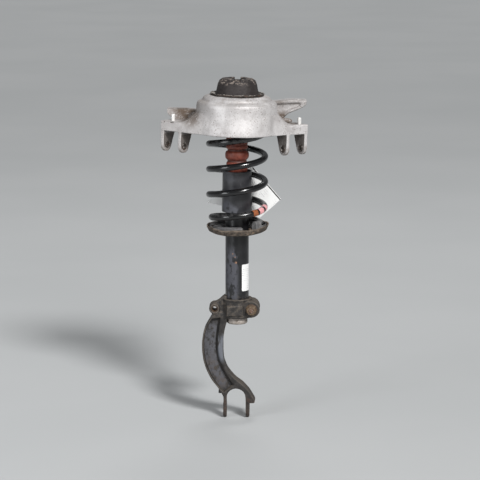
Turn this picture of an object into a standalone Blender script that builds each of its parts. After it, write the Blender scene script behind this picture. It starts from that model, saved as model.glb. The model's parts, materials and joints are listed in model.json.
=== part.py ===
"""Front suspension strut: cast bearing bracket, top bearing, coil spring, damper and damper fork.

Every dimension is in millimetres and becomes metres when its mesh is made. Heights are measured up
from the tips of the fork. The origin is on the damper axis, at the flange of the top bearing.
"""

import math

import bmesh
import bpy
from mathutils import Matrix

MM = 0.001
GAP = 0.3  # running space between two pieces
STEP = 0.25  # keeps two joined faces from lying in one plane
ORIGIN_HEIGHT = 716.0  # of the bearing flange above the fork tips

# Bearing bracket. Its own heights count from its flat underside.
BRACKET_BASE = 634.0
BRACKET_LEAN = 1.5  # degrees, +X side down
PLATE_HEIGHT = 21.0
DOME_HEIGHT = 81.5
DOME_RADIUS = 87.0
DOME_BORE = 79.0
DOME_CEILING = 62.0
LEFT_ARM_ROOT = (-48.0, -75.0)
LEFT_ARM_TIP = (-163.5, 10.0)
RIGHT_ARM_ROOT = (54.0, -62.0)
RIGHT_ARM_TIP = (155.0, 7.5)
ARM_WIDTH = 50.0
LUG_THICKNESS = 8.0
LUG_SPACING = 47.0
LUG_ROOT_WIDTH = 40.0
LUG_TIP_RADIUS = 14.5
LUG_HOLE_DROP = 31.5
CLEVIS_BUSH_RADIUS = 7.5
CLEVIS_BUSH_BORE = 5.2
PIN_RADIUS = 4.2
PIN_STAND = 14.5
PIN_SEAT = 8.0
PAD_HOLE_RADIUS = 5.5
LEFT_PAD_HEIGHT = 42.0
RIGHT_PAD_HEIGHT = 68.0
LEFT_PAD = (-134.0, 68.0)
RIGHT_PAD = (136.0, 68.0)

# Top bearing.
BEARING_BORE = 52.0
FLANGE_RADIUS = 58.0
RUBBER_BASE_RADIUS = 46.0
RUBBER_TOP = 752.5
RUBBER_SLOT_WIDTH = 12.0
RUBBER_SLOT_DEPTH = 6.5
BUSH_CENTRE = 708.0

# Coil spring.
WIRE_RADIUS = 7.0
COIL_RADIUS = 60.5
SPRING_START = -24.0  # degrees round the axis
SPRING_FULL_PITCH_FROM = 400.0
SPRING_FULL_PITCH_TO = 1330.0
SPRING_END = 1700.0
SPRING_PITCH = 55.4
SPRING_FIRST_PITCH = 20.0
SPRING_LAST_PITCH = 12.0
SPRING_START_HEIGHT = 433.6
SPRING_START_RADIUS = 50.0
SPRING_END_RADIUS = 57.0

# Damper.
TUBE_RADIUS = 25.5
TUBE_BORE = 23.5
TUBE_BOTTOM = 229.0
TUBE_TOP = 492.0
PRESSURE_TUBE_RADIUS = 17.5
PRESSURE_TUBE_BORE = 16.0
PRESSURE_TUBE_TOP = 470.0
ROD_RADIUS = 7.0
ROD_STUD_RADIUS = 6.0
ROD_SHOULDER = 686.0
ROD_TOP = 743.0
PISTON_LOW = 430.0
PISTON_HIGH = 445.7
BUMP_STOP_LOW = 535.0
DUST_TUBE_LOW = 463.0
DUST_TUBE_HIGH = 552.0

# Spring perch on the tube.
PERCH_RADIUS = 68.0
PERCH_OFFSET = 2.0  # of the pan from the damper axis, towards +X
PERCH_FLOOR = 416.0
PERCH_LIP = 435.5
PERCH_TILT = 1.3  # degrees, +X side up

# Damper fork, turned a little about the damper axis.
FORK_YAW = -1.5
CLAMP_RADIUS = 32.5
CLAMP_LOW = 228.0
CLAMP_HIGH = 270.0
CLAMP_BORE = TUBE_RADIUS + GAP
EAR_CENTRE = (32.0, 248.5)
EAR_RADIUS = 18.0
EAR_HALF_WIDTH = 26.0
SLIT_HALF_WIDTH = 1.5
LINK_BOSS = (-49.0, 248.5)
LINK_BOSS_RADIUS = 12.0
LINK_HALF_LENGTH = 18.0
LINK_BORE = 7.3
ARM_HALF_DEPTH = 18.0
WEB_HALF_THICKNESS = 7.0
FLANGE_SLOPE = 6.0  # how far the flange's side leans back over its depth
BOLT_HEIGHT = 18.0
FOOT_RADIUS = 16.5
FOOT_HOLE_RADIUS = 6.2
LEFT_PRONG = (-29.6, -23.0)
RIGHT_PRONG = (19.0, 26.0)
FOOT_THICKENING = 1.2
ARCH_HEIGHT = 69.0
PINCH_BOLT_RADIUS = 5.3


# ---------------------------------------------------------------- shapes

def clear_scene():
    for thing in list(bpy.data.objects):
        bpy.data.objects.remove(thing, do_unlink=True)


def make_material(name, colour, roughness, metallic=0.0):
    material = bpy.data.materials.new(name)
    material.use_nodes = True
    shader = material.node_tree.nodes["Principled BSDF"]
    shader.inputs["Base Color"].default_value = (*colour, 1.0)
    shader.inputs["Roughness"].default_value = roughness
    shader.inputs["Metallic"].default_value = metallic
    return material


def make_frame(name, height, parent=None, turn=(0.0, 0.0, 0.0)):
    """An empty that a group of pieces is measured from."""
    frame = bpy.data.objects.new(name, None)
    bpy.context.scene.collection.objects.link(frame)
    frame.location = (0.0, 0.0, height * MM)
    frame.rotation_euler = [math.radians(angle) for angle in turn]
    frame.parent = parent
    return frame


def make_object(name, shape, parent, material=None, sharp=35.0):
    """Turns a bmesh in millimetres into an object in metres."""
    bmesh.ops.recalc_face_normals(shape, faces=shape.faces)
    bmesh.ops.scale(shape, vec=(MM, MM, MM), verts=shape.verts)
    mesh = bpy.data.meshes.new(name)
    shape.to_mesh(mesh)
    shape.free()
    mesh.shade_smooth()
    mesh.set_sharp_from_angle(angle=math.radians(sharp))
    thing = bpy.data.objects.new(name, mesh)
    bpy.context.scene.collection.objects.link(thing)
    thing.parent = parent
    if material:
        mesh.materials.append(material)
    return thing


def turned(profile, steps=24):
    """A solid of revolution from (radius, height) points; open ends must lie on the axis."""
    shape = bmesh.new()
    ring = [shape.verts.new((radius, 0.0, height)) for radius, height in profile]
    edges = [shape.edges.new(pair) for pair in zip(ring, ring[1:])]
    if profile[0][0] > 0.0:
        edges.append(shape.edges.new((ring[-1], ring[0])))
    bmesh.ops.spin(shape, geom=ring + edges, axis=(0, 0, 1), cent=(0, 0, 0),
                   angle=math.tau, steps=steps)
    bmesh.ops.remove_doubles(shape, verts=shape.verts, dist=0.001)
    return shape


def rod_shape(radius, low, high, steps=20):
    return turned([(0.0, high), (radius, high), (radius, low), (0.0, low)], steps)


def ring_shape(outer, bore, low, high, steps=24):
    return turned([(outer, high), (outer, low), (bore, low), (bore, high)], steps)


def loft(outline, low, other_outline, high, across="Z"):
    """A solid between two outlines with as many points, at low and high along an axis."""
    places = {
        "X": lambda u, v, w: (w, u, v),
        "Y": lambda u, v, w: (u, w, v),
        "Z": lambda u, v, w: (u, v, w),
    }
    place = places[across]
    shape = bmesh.new()
    base = [shape.verts.new(place(u, v, low)) for u, v in outline]
    top = [shape.verts.new(place(u, v, high)) for u, v in other_outline]
    shape.faces.new(base)
    shape.faces.new(top)
    sides = []
    for index in range(len(base)):
        after = (index + 1) % len(base)
        sides.append(shape.faces.new((base[index], base[after], top[after], top[index])))
    if other_outline is not outline:
        bmesh.ops.triangulate(shape, faces=sides)
    return shape


def prism(outline, low, high, across="Z"):
    """A flat outline pushed from low to high along the axis named by across."""
    return loft(outline, low, outline, high, across)


def aim(shape, across):
    """Turns a shape made along Z so that it runs along X or Y instead."""
    turns = {"X": Matrix.Rotation(math.radians(90), 3, "Y"),
             "Y": Matrix.Rotation(math.radians(-90), 3, "X")}
    bmesh.ops.rotate(shape, verts=shape.verts, matrix=turns[across])
    return shape


def shift(shape, x, y, z):
    bmesh.ops.translate(shape, vec=(x, y, z), verts=shape.verts)
    return shape


def smooth_curve(points, steps=4):
    """Points along a smooth curve through the given ones."""
    ends = [points[0]] + list(points) + [points[-1]]
    curve = []
    for before, start, stop, after in zip(ends, ends[1:], ends[2:], ends[3:]):
        for step in range(steps):
            t = step / steps
            curve.append(tuple(
                0.5 * (2 * b + (c - a) * t + (2 * a - 5 * b + 4 * c - d) * t * t
                       + (3 * b - a - 3 * c + d) * t ** 3)
                for a, b, c, d in zip(before, start, stop, after)))
    curve.append(tuple(points[-1]))
    return curve


def arc(centre, radius, start, stop, steps=8):
    """Points on an arc, its angles in degrees."""
    angles = [math.radians(start + (stop - start) * step / steps) for step in range(steps + 1)]
    return [(centre[0] + radius * math.cos(a), centre[1] + radius * math.sin(a)) for a in angles]


def combine(target, shape, operation="DIFFERENCE"):
    """Cuts a shape from an object, or joins it on with UNION, by a Boolean modifier."""
    number = len(target.modifiers) + 1
    tool = make_object(f"{target.name}_tool_{number}", shape, target.parent)
    tool.hide_render = True
    tool.display_type = "WIRE"
    modifier = target.modifiers.new(f"step_{number}", "BOOLEAN")
    modifier.operation = operation
    modifier.solver = "EXACT"
    modifier.object = tool


# ---------------------------------------------------------------- bearing bracket

def arm_frame(root, tip):
    """Unit vectors along an arm's front edge, and back across it."""
    length = math.hypot(tip[0] - root[0], tip[1] - root[1])
    along = ((tip[0] - root[0]) / length, (tip[1] - root[1]) / length)
    side = 1.0 if along[0] < 0.0 else -1.0
    back = (along[1] * side, -along[0] * side)
    return along, back, length


def arm_outline(root, tip, start, stop, width, inset=0.0):
    along, back, _ = arm_frame(root, tip)
    corners = [(start, inset), (stop, inset), (stop, width - inset), (start, width - inset)]
    return [(root[0] + along[0] * a + back[0] * b, root[1] + along[1] * a + back[1] * b)
            for a, b in corners]


def lug_outline():
    """A lug seen along its bolt: (distance back from the arm's front edge, height)."""
    top = PLATE_HEIGHT * 0.5
    tip = (LUG_TIP_RADIUS, -LUG_HOLE_DROP)
    return ([(STEP, top)] + arc(tip, LUG_TIP_RADIUS - STEP, 180.0, 340.0, 7)
            + [(LUG_ROOT_WIDTH, -4.0), (LUG_ROOT_WIDTH, top)])


def place_on_arm(shape, root, tip, distance):
    """Moves a shape made with X along the arm and Y back across it to its place on the arm."""
    along, back, _ = arm_frame(root, tip)
    turn = Matrix(((along[0], back[0], 0.0), (along[1], back[1], 0.0), (0.0, 0.0, 1.0)))
    bmesh.ops.transform(shape, matrix=turn.to_4x4(), verts=shape.verts)
    return shift(shape, root[0] + along[0] * distance, root[1] + along[1] * distance, 0.0)


def lug_places():
    """(side, place, root, tip, distance along the arm) of the four lugs."""
    places = []
    for side, root, tip in (("left", LEFT_ARM_ROOT, LEFT_ARM_TIP),
                            ("right", RIGHT_ARM_ROOT, RIGHT_ARM_TIP)):
        length = arm_frame(root, tip)[2]
        outer = length - LUG_THICKNESS / 2 - STEP
        places.append((side, "outer", root, tip, outer))
        places.append((side, "inner", root, tip, outer - LUG_SPACING))
    return places


def dome_profile():
    shoulder = arc((DOME_RADIUS - 8.0, 61.5), 8.0, 80.0, 0.0, 4)
    return [(0.0, DOME_HEIGHT), (64.0, DOME_HEIGHT), (73.0, DOME_HEIGHT - 4.5), (75.5, 70.5),
            *shoulder, (87.6, 42.0), (89.5, 24.0), (92.0, 10.0), (92.0, 2.0), (90.5, 0.0),
            (0.0, 0.0)]


def dome_hollow():
    return [(0.0, DOME_HEIGHT + 5.0), (BEARING_BORE, DOME_HEIGHT + 5.0),
            (BEARING_BORE, DOME_CEILING), (DOME_BORE - 8.0, DOME_CEILING),
            (DOME_BORE, DOME_CEILING - 8.0), (DOME_BORE, 6.0), (DOME_BORE + 3.0, -5.0), (0.0, -5.0)]


def left_ear():
    return [(-152.0, LEFT_PAD_HEIGHT), (-152.0, 33.0), (-140.0, 22.0), (-128.0, 10.0),
            (-40.0, 10.0), (-40.0, LEFT_PAD_HEIGHT - 4.0), (-112.0, LEFT_PAD_HEIGHT)]


def right_ear():
    return [(152.0, RIGHT_PAD_HEIGHT), (152.0, 58.0), (144.0, 52.0), (112.0, 38.0),
            (100.0, 24.0), (88.0, 12.0), (50.0, 12.0), (50.0, RIGHT_PAD_HEIGHT - 6.0),
            (84.0, RIGHT_PAD_HEIGHT - 4.0), (112.0, RIGHT_PAD_HEIGHT)]


def build_bracket(frame, material):
    bracket = make_object("bearing_bracket", turned(dome_profile(), 40), frame, material)
    for root, tip in ((LEFT_ARM_ROOT, LEFT_ARM_TIP), (RIGHT_ARM_ROOT, RIGHT_ARM_TIP)):
        length = arm_frame(root, tip)[2]
        outline = arm_outline(root, tip, 0.0, length, ARM_WIDTH)
        combine(bracket, prism(outline, STEP, PLATE_HEIGHT), "UNION")
        outline = arm_outline(root, tip, 46.0, length - LUG_SPACING - 12.0, ARM_WIDTH, 8.0)
        combine(bracket, prism(outline, -5.0, PLATE_HEIGHT - 6.0))
    combine(bracket, prism(left_ear(), 48.0, 88.0, "Y"), "UNION")
    combine(bracket, prism(right_ear(), 48.0, 88.0, "Y"), "UNION")
    channel = [(138.0, 62.0), (138.0, 56.0), (112.0, 45.0), (96.0, 30.0), (82.0, 30.0), (82.0, 58.0)]
    combine(bracket, prism(channel, 40.0, 54.0, "Y"))
    for _, _, root, tip, distance in lug_places():
        half = LUG_THICKNESS / 2
        lug = place_on_arm(prism(lug_outline(), -half, half, "X"), root, tip, distance)
        combine(bracket, lug, "UNION")
        hole = aim(rod_shape(CLEVIS_BUSH_RADIUS + GAP, -20.0, 20.0), "X")
        shift(hole, 0.0, LUG_TIP_RADIUS, -LUG_HOLE_DROP)
        combine(bracket, place_on_arm(hole, root, tip, distance))
    combine(bracket, turned(dome_hollow(), 32))
    for x, y in (LEFT_PAD, RIGHT_PAD):
        combine(bracket, shift(rod_shape(PAD_HOLE_RADIUS, -10.0, 90.0), x, y, 0.0))
    for _, x, y in pin_places():
        seat = rod_shape(PIN_RADIUS + GAP, PLATE_HEIGHT - PIN_SEAT, PLATE_HEIGHT + 5.0, 16)
        combine(bracket, shift(seat, x, y, 0.0))
    return bracket


def pin_places():
    return (("left", -137.0, 14.0), ("right", 136.0, 10.0))


def build_locating_pins(frame, material):
    low = PLATE_HEIGHT - PIN_SEAT + GAP
    high = PLATE_HEIGHT + PIN_STAND
    profile = [(0.0, high), (PIN_RADIUS - 1.0, high), (PIN_RADIUS, high - 1.5),
               (PIN_RADIUS, low), (0.0, low)]
    for side, x, y in pin_places():
        make_object(f"locating_pin_{side}", shift(turned(profile, 16), x, y, 0.0), frame, material)


def build_clevis_bushes(frame, material):
    half = LUG_THICKNESS / 2 + 0.6
    for side, place, root, tip, distance in lug_places():
        bush = aim(ring_shape(CLEVIS_BUSH_RADIUS, CLEVIS_BUSH_BORE, -half, half, 16), "X")
        shift(bush, 0.0, LUG_TIP_RADIUS, -LUG_HOLE_DROP)
        place_on_arm(bush, root, tip, distance)
        make_object(f"clevis_bush_{side}_{place}", bush, frame, material)


# ---------------------------------------------------------------- top bearing

def build_bearing(frame, steel, rubber):
    """The ring and the rubber follow the bracket; heights here count from its underside."""
    seat = DOME_HEIGHT + GAP
    ring = [(FLANGE_RADIUS, seat + 5.5), (FLANGE_RADIUS, seat), (BEARING_BORE - GAP, seat),
            (BEARING_BORE - GAP, 44.0), (48.6, 44.0), (48.6, seat + 3.0), (54.0, seat + 3.0),
            (56.0, seat + 5.5)]
    make_object("bearing_ring", turned(ring, 32), frame, steel)
    top = RUBBER_TOP - BRACKET_BASE
    body = [(29.0, top), (34.0, top - 1.2), (39.0, top - 5.0), (42.0, top - 12.0),
            (44.4, top - 24.0), (RUBBER_BASE_RADIUS, top - 32.0), (48.2, top - 33.4),
            (48.2, 48.0), (44.0, 48.0), (38.0, 58.0), (11.0, 60.0), (11.0, 91.0),
            (17.0, 91.0), (17.0, top)]
    dome = make_object("bearing_rubber", turned(body, 28), frame, rubber)
    half = RUBBER_SLOT_WIDTH / 2
    slot = [(-half, top - RUBBER_SLOT_DEPTH), (half, top - RUBBER_SLOT_DEPTH),
            (half + 1.0, top + 5.0), (-half - 1.0, top + 5.0)]
    combine(dome, prism(slot, -60.0, 60.0, "Y"))


def build_rod_end(frame, steel, zinc):
    """Cup, sleeve, washer and nut on the threaded end of the rod."""
    bore = ROD_STUD_RADIUS + GAP
    low = ROD_SHOULDER + GAP
    cup = [(26.0, low + 1.0), (26.0, low - 9.0), (24.4, low - 9.0), (24.4, low), (bore, low),
           (bore, low + 2.5), (24.5, low + 2.5)]
    make_object("bump_stop_cup", turned(cup), frame, steel)
    sleeve_low = low + 2.5 + GAP
    make_object("bearing_sleeve", ring_shape(9.5, bore, sleeve_low, 726.0, 16), frame, zinc)
    washer_low = 726.0 + GAP
    make_object("top_washer", ring_shape(15.5, bore, washer_low, washer_low + 2.5), frame, zinc)
    nut_low = washer_low + 2.5 + GAP
    nut = make_object("rod_nut", rod_shape(11.0, nut_low, nut_low + 10.5, 6), frame, zinc)
    combine(nut, rod_shape(bore, nut_low - 2.0, nut_low + 15.0))


# ---------------------------------------------------------------- spring and its seats

def spring_pitch(angle):
    """Rise per turn at an angle in degrees: closed at both ends, open in the middle."""
    if angle < SPRING_FULL_PITCH_FROM:
        share = (angle - SPRING_START) / (SPRING_FULL_PITCH_FROM - SPRING_START)
        return SPRING_FIRST_PITCH + (SPRING_PITCH - SPRING_FIRST_PITCH) * share
    if angle > SPRING_FULL_PITCH_TO:
        share = (angle - SPRING_FULL_PITCH_TO) / (SPRING_END - SPRING_FULL_PITCH_TO)
        return SPRING_PITCH + (SPRING_LAST_PITCH - SPRING_PITCH) * share
    return SPRING_PITCH


def spring_radius(angle):
    if angle < SPRING_FULL_PITCH_FROM:
        share = (angle - SPRING_START) / (SPRING_FULL_PITCH_FROM - SPRING_START)
        return SPRING_START_RADIUS + (COIL_RADIUS - SPRING_START_RADIUS) * share
    if angle > SPRING_FULL_PITCH_TO:
        share = (angle - SPRING_FULL_PITCH_TO) / (SPRING_END - SPRING_FULL_PITCH_TO)
        return COIL_RADIUS + (SPRING_END_RADIUS - COIL_RADIUS) * share
    return COIL_RADIUS


def spring_shape(step=17.3, sides=8):
    """The wire as rings of points round a rising coil."""
    shape = bmesh.new()
    height = SPRING_START_HEIGHT
    rings = []
    for index in range(round((SPRING_END - SPRING_START) / step) + 1):
        angle = SPRING_START + index * step
        radius = spring_radius(angle)
        a = math.radians(angle)
        slope = math.atan(spring_pitch(angle) / (math.tau * radius))
        ring = []
        for side in range(sides):
            turn = math.tau * side / sides
            out = radius + WIRE_RADIUS * math.cos(turn)
            lean = -WIRE_RADIUS * math.sin(turn) * math.sin(slope)
            up = WIRE_RADIUS * math.sin(turn) * math.cos(slope)
            ring.append(shape.verts.new((out * math.cos(a) - lean * math.sin(a),
                                         out * math.sin(a) + lean * math.cos(a), height + up)))
        rings.append(ring)
        height += spring_pitch(angle + step / 2) * step / 360.0
    for ring, after in zip(rings, rings[1:]):
        for side in range(sides):
            beside = (side + 1) % sides
            shape.faces.new((ring[side], ring[beside], after[beside], after[side]))
    shape.faces.new(rings[0])
    shape.faces.new(rings[-1])
    return shape


def build_upper_seat(frame, steel, rubber):
    """Seat and pad inside the dome; heights count from the bracket's underside."""
    plate = 35.5
    collar = BEARING_BORE + GAP
    seat = [(75.0, plate + 2.5), (75.0, plate - 5.0), (73.0, plate - 5.0), (73.0, plate),
            (48.0, plate), (48.0, plate + 2.5), (collar, plate + 2.5), (collar, plate + 18.0),
            (collar + 2.0, plate + 18.0), (collar + 4.0, plate + 2.5)]
    make_object("upper_spring_seat", turned(seat), frame, steel)
    pad = [(72.6, plate - GAP), (72.6, plate - 4.0), (68.0, plate - 5.0), (50.0, plate - 5.0),
           (49.0, plate - GAP)]
    make_object("upper_spring_pad", turned(pad), frame, rubber)


def build_perch(frame, steel, rubber):
    """Pressed pan, set a little off the tube, and its pad; heights count from the pan's floor."""
    lip = PERCH_LIP - PERCH_FLOOR
    pan = [(PERCH_RADIUS - 0.5, lip), (PERCH_RADIUS, lip - 3.0), (63.5, 7.0), (56.0, 2.0),
           (48.0, 0.0), (32.0, -0.6), (29.5, -1.8), (20.0, -1.8), (20.0, 4.0), (30.0, 2.5),
           (47.5, 2.5), (55.0, 4.6), (62.0, 9.8),
           (PERCH_RADIUS - 2.6, lip - 1.5)]
    perch = make_object("spring_perch", shift(turned(pan, 36), PERCH_OFFSET, 0.0, 0.0), frame, steel)
    combine(perch, rod_shape(TUBE_RADIUS + 0.7, -20.0, 20.0, 32))
    pad = [(60.4, 19.5), (61.8, 19.5), (61.8, 11.0), (55.0, 5.6), (47.0, 3.0), (38.0, 3.0),
           (38.0, 8.4), (43.0, 8.0), (54.0, 8.0), (60.2, 13.0)]
    pad_object = make_object("lower_spring_pad", shift(turned(pad, 36), PERCH_OFFSET, 0.0, 0.0),
                             frame, rubber)
    stop = arc((0.0, 0.0), 61.5, -50.0, -31.0, 4) + arc((0.0, 0.0), 44.0, -31.0, -50.0, 4)
    combine(pad_object, prism(stop, 9.8, 30.0), "UNION")


# ---------------------------------------------------------------- damper

def build_damper(frame, paint, steel, rubber, plastic, bump, brass):
    make_object("damper_tube", ring_shape(TUBE_RADIUS, TUBE_BORE, TUBE_BOTTOM, TUBE_TOP, 32),
                frame, paint)
    inner = TUBE_BORE - GAP
    base = [(0.0, 238.0), (inner, 238.0), (inner, TUBE_BOTTOM - GAP), (22.8, TUBE_BOTTOM - GAP),
            (22.8, 217.0), (21.0, 214.0), (0.0, 214.0)]
    make_object("base_cap", turned(base), frame, steel)
    valve = [(0.0, 254.0), (10.0, 254.0), (PRESSURE_TUBE_BORE - GAP, 252.0),
             (PRESSURE_TUBE_BORE - GAP, 245.7), (22.0, 245.7), (22.0, 238.0 + GAP), (0.0, 238.0 + GAP)]
    make_object("base_valve", turned(valve), frame, brass)
    make_object("pressure_tube", ring_shape(PRESSURE_TUBE_RADIUS, PRESSURE_TUBE_BORE, 246.0,
                                            PRESSURE_TUBE_TOP), frame, steel)
    bore = ROD_RADIUS + GAP
    guide = [(inner, 484.0), (inner, PRESSURE_TUBE_TOP + GAP),
             (PRESSURE_TUBE_BORE - GAP, PRESSURE_TUBE_TOP + GAP), (PRESSURE_TUBE_BORE - GAP, 460.0),
             (bore, 460.0), (bore, 484.0)]
    make_object("rod_guide", turned(guide), frame, steel)
    seal = [(inner, 491.5), (inner, 484.0 + GAP), (bore, 484.0 + GAP), (bore, 488.0), (9.0, 491.5)]
    make_object("rod_seal", turned(seal), frame, rubber)
    skirt = TUBE_RADIUS + GAP
    cap = [(26.6, 494.8), (27.4, 494.0), (27.4, 482.0), (28.6, 481.0), (28.6, 479.0),
           (skirt, 479.0), (skirt, TUBE_TOP + GAP), (9.0, TUBE_TOP + GAP), (9.0, 494.8)]
    make_object("tube_cap", turned(cap), frame, steel)
    build_dust_tube(frame, plastic)
    build_piston_rod(frame, steel, brass, plastic)
    build_bump_stop(frame, bump)


def build_dust_tube(frame, plastic):
    """A loose-fitting sleeve whose inner rib sits on the tube's top cap."""
    wall = [(31.3, DUST_TUBE_HIGH), (32.0, DUST_TUBE_HIGH - 2.0), (31.5, DUST_TUBE_HIGH - 4.0),
            (33.3, DUST_TUBE_LOW), (31.5, DUST_TUBE_LOW), (30.4, 495.0 + GAP), (24.0, 495.0 + GAP),
            (24.0, 498.0), (30.2, 498.0), (29.6, DUST_TUBE_HIGH)]
    make_object("dust_tube", turned(wall, 28), frame, plastic)


def build_piston_rod(frame, steel, brass, plastic):
    tail = 4.0
    rod = [(0.0, ROD_TOP), (ROD_STUD_RADIUS, ROD_TOP), (ROD_STUD_RADIUS, ROD_SHOULDER),
           (ROD_RADIUS, ROD_SHOULDER), (ROD_RADIUS, 446.0), (tail, 446.0), (tail, 420.0),
           (0.0, 420.0)]
    make_object("piston_rod", turned(rod, 20), frame, steel)
    groove = 13.6
    outer = PRESSURE_TUBE_BORE - 2 * GAP
    piston = [(outer, PISTON_HIGH), (outer, PISTON_HIGH - 3.0), (groove, PISTON_HIGH - 3.0),
              (groove, PISTON_LOW + 3.0), (outer, PISTON_LOW + 3.0), (outer, PISTON_LOW),
              (tail + GAP, PISTON_LOW), (tail + GAP, PISTON_HIGH)]
    make_object("piston", turned(piston), frame, brass)
    make_object("piston_ring", ring_shape(PRESSURE_TUBE_BORE - GAP, groove + GAP,
                                          PISTON_LOW + 3.0 + GAP, PISTON_HIGH - 3.0 - GAP),
                frame, plastic)
    nut_high = PISTON_LOW - GAP
    nut = make_object("piston_nut", rod_shape(7.5, nut_high - 6.0, nut_high, 6), frame, steel)
    combine(nut, rod_shape(tail + GAP, nut_high - 10.0, nut_high + 5.0))
    make_object("rebound_stop", ring_shape(13.0, ROD_RADIUS + GAP, 446.0 + GAP, 460.0 - GAP, 20),
                frame, plastic)


def build_bump_stop(frame, bump):
    bore = ROD_RADIUS + 0.6
    high = ROD_SHOULDER
    profile = [(22.0, high), (22.5, 660.0), (23.6, 640.0), (23.2, 602.0), (22.0, 598.0),
               (24.6, 594.5), (25.8, 586.0), (25.2, 578.0), (22.2, 574.5), (23.4, 571.0),
               (23.0, 556.0), (20.5, 545.0), (16.0, 538.0), (12.0, BUMP_STOP_LOW),
               (bore, BUMP_STOP_LOW), (bore, high)]
    make_object("bump_stop", turned(profile), frame, bump)


def build_tube_label(frame, paper):
    """A blank sticker that follows the tube."""
    inner = TUBE_RADIUS + 0.1
    outline = arc((0.0, 0.0), inner + 0.25, -66.0, -8.0, 10) + arc((0.0, 0.0), inner, -8.0, -66.0, 10)
    make_object("tube_label", prism(outline, 289.0, 348.0), frame, paper)


# ---------------------------------------------------------------- fork

def arm_outer_edge():
    return smooth_curve([(-57.0, 228.0), (-69.0, 207.0), (-75.0, 187.0), (-76.7, 163.0),
                         (-74.0, 134.5), (-66.5, 110.0), (-55.0, 88.0), (-39.0, 67.0),
                         (-29.8, 50.0)], 3)


def arm_inner_edge():
    return smooth_curve([(-22.0, 220.0), (-28.5, 193.0), (-30.5, 167.0), (-30.0, 143.0),
                         (-26.0, 124.5), (-16.5, 106.0), (-3.5, 90.5), (11.5, 79.0),
                         (22.5, 68.0), (31.0, 56.0), (38.5, 43.0)], 3)


def fork_outline():
    """The fork seen from the front: arm, arch, two prongs and the guard fin."""
    gap_centre = (LEFT_PRONG[1] + RIGHT_PRONG[0]) / 2
    gap_radius = (RIGHT_PRONG[0] - LEFT_PRONG[1]) / 2
    arch = arc((gap_centre, ARCH_HEIGHT - gap_radius), gap_radius, 0.0, 180.0, 10)
    fin = [(40.0, 39.0), (37.0, 36.0), (RIGHT_PRONG[1], 36.0)]
    low = -4.0
    return (arm_outer_edge()
            + [(LEFT_PRONG[0], low), (LEFT_PRONG[1], low)] + arch[::-1]
            + [(RIGHT_PRONG[0], low), (RIGHT_PRONG[1], low)] + fin[::-1]
            + arm_inner_edge()[::-1]
            + [(-15.0, 236.0), (-50.0, 244.0)])


def fork_side():
    """The arm seen from the side: round feet, then a constant depth."""
    foot = arc((0.0, BOLT_HEIGHT), FOOT_RADIUS, 180.0, 360.0, 10)
    top = 250.0
    return foot + [(ARM_HALF_DEPTH, 40.0), (ARM_HALF_DEPTH, top), (-ARM_HALF_DEPTH, top),
                   (-ARM_HALF_DEPTH, 40.0)]


def web_pocket(flange_slope):
    """The hollow in the arm's face, between a thin outer rim and the thick inner flange."""
    rim = [(-54.5, 226.0), (-66.0, 206.0), (-71.6, 187.0), (-73.2, 163.0), (-70.5, 135.5),
           (-63.2, 111.5), (-52.0, 90.0), (-37.5, 70.0), (-28.5, 60.0)]
    ridge = [(-12.0, 76.0), (-27.0, 98.5), (-41.0, 128.0), (-46.5, 161.0), (-45.5, 193.0),
             (-40.0, 228.0)]
    ridge = [(x + flange_slope, z + flange_slope * 0.3) for x, z in ridge]
    return smooth_curve(rim, 2) + smooth_curve(ridge, 2)


def shoulder_outline():
    """The web that runs from the link boss up to the clamp."""
    return [(-52.0, 259.0), (-46.0, 262.0), (-39.0, 266.0), (-32.0, 272.5), (-26.5, 276.5),
            (-18.0, 276.5), (-18.0, 229.0), (-50.0, 229.0), (-58.0, 240.0)]


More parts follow.
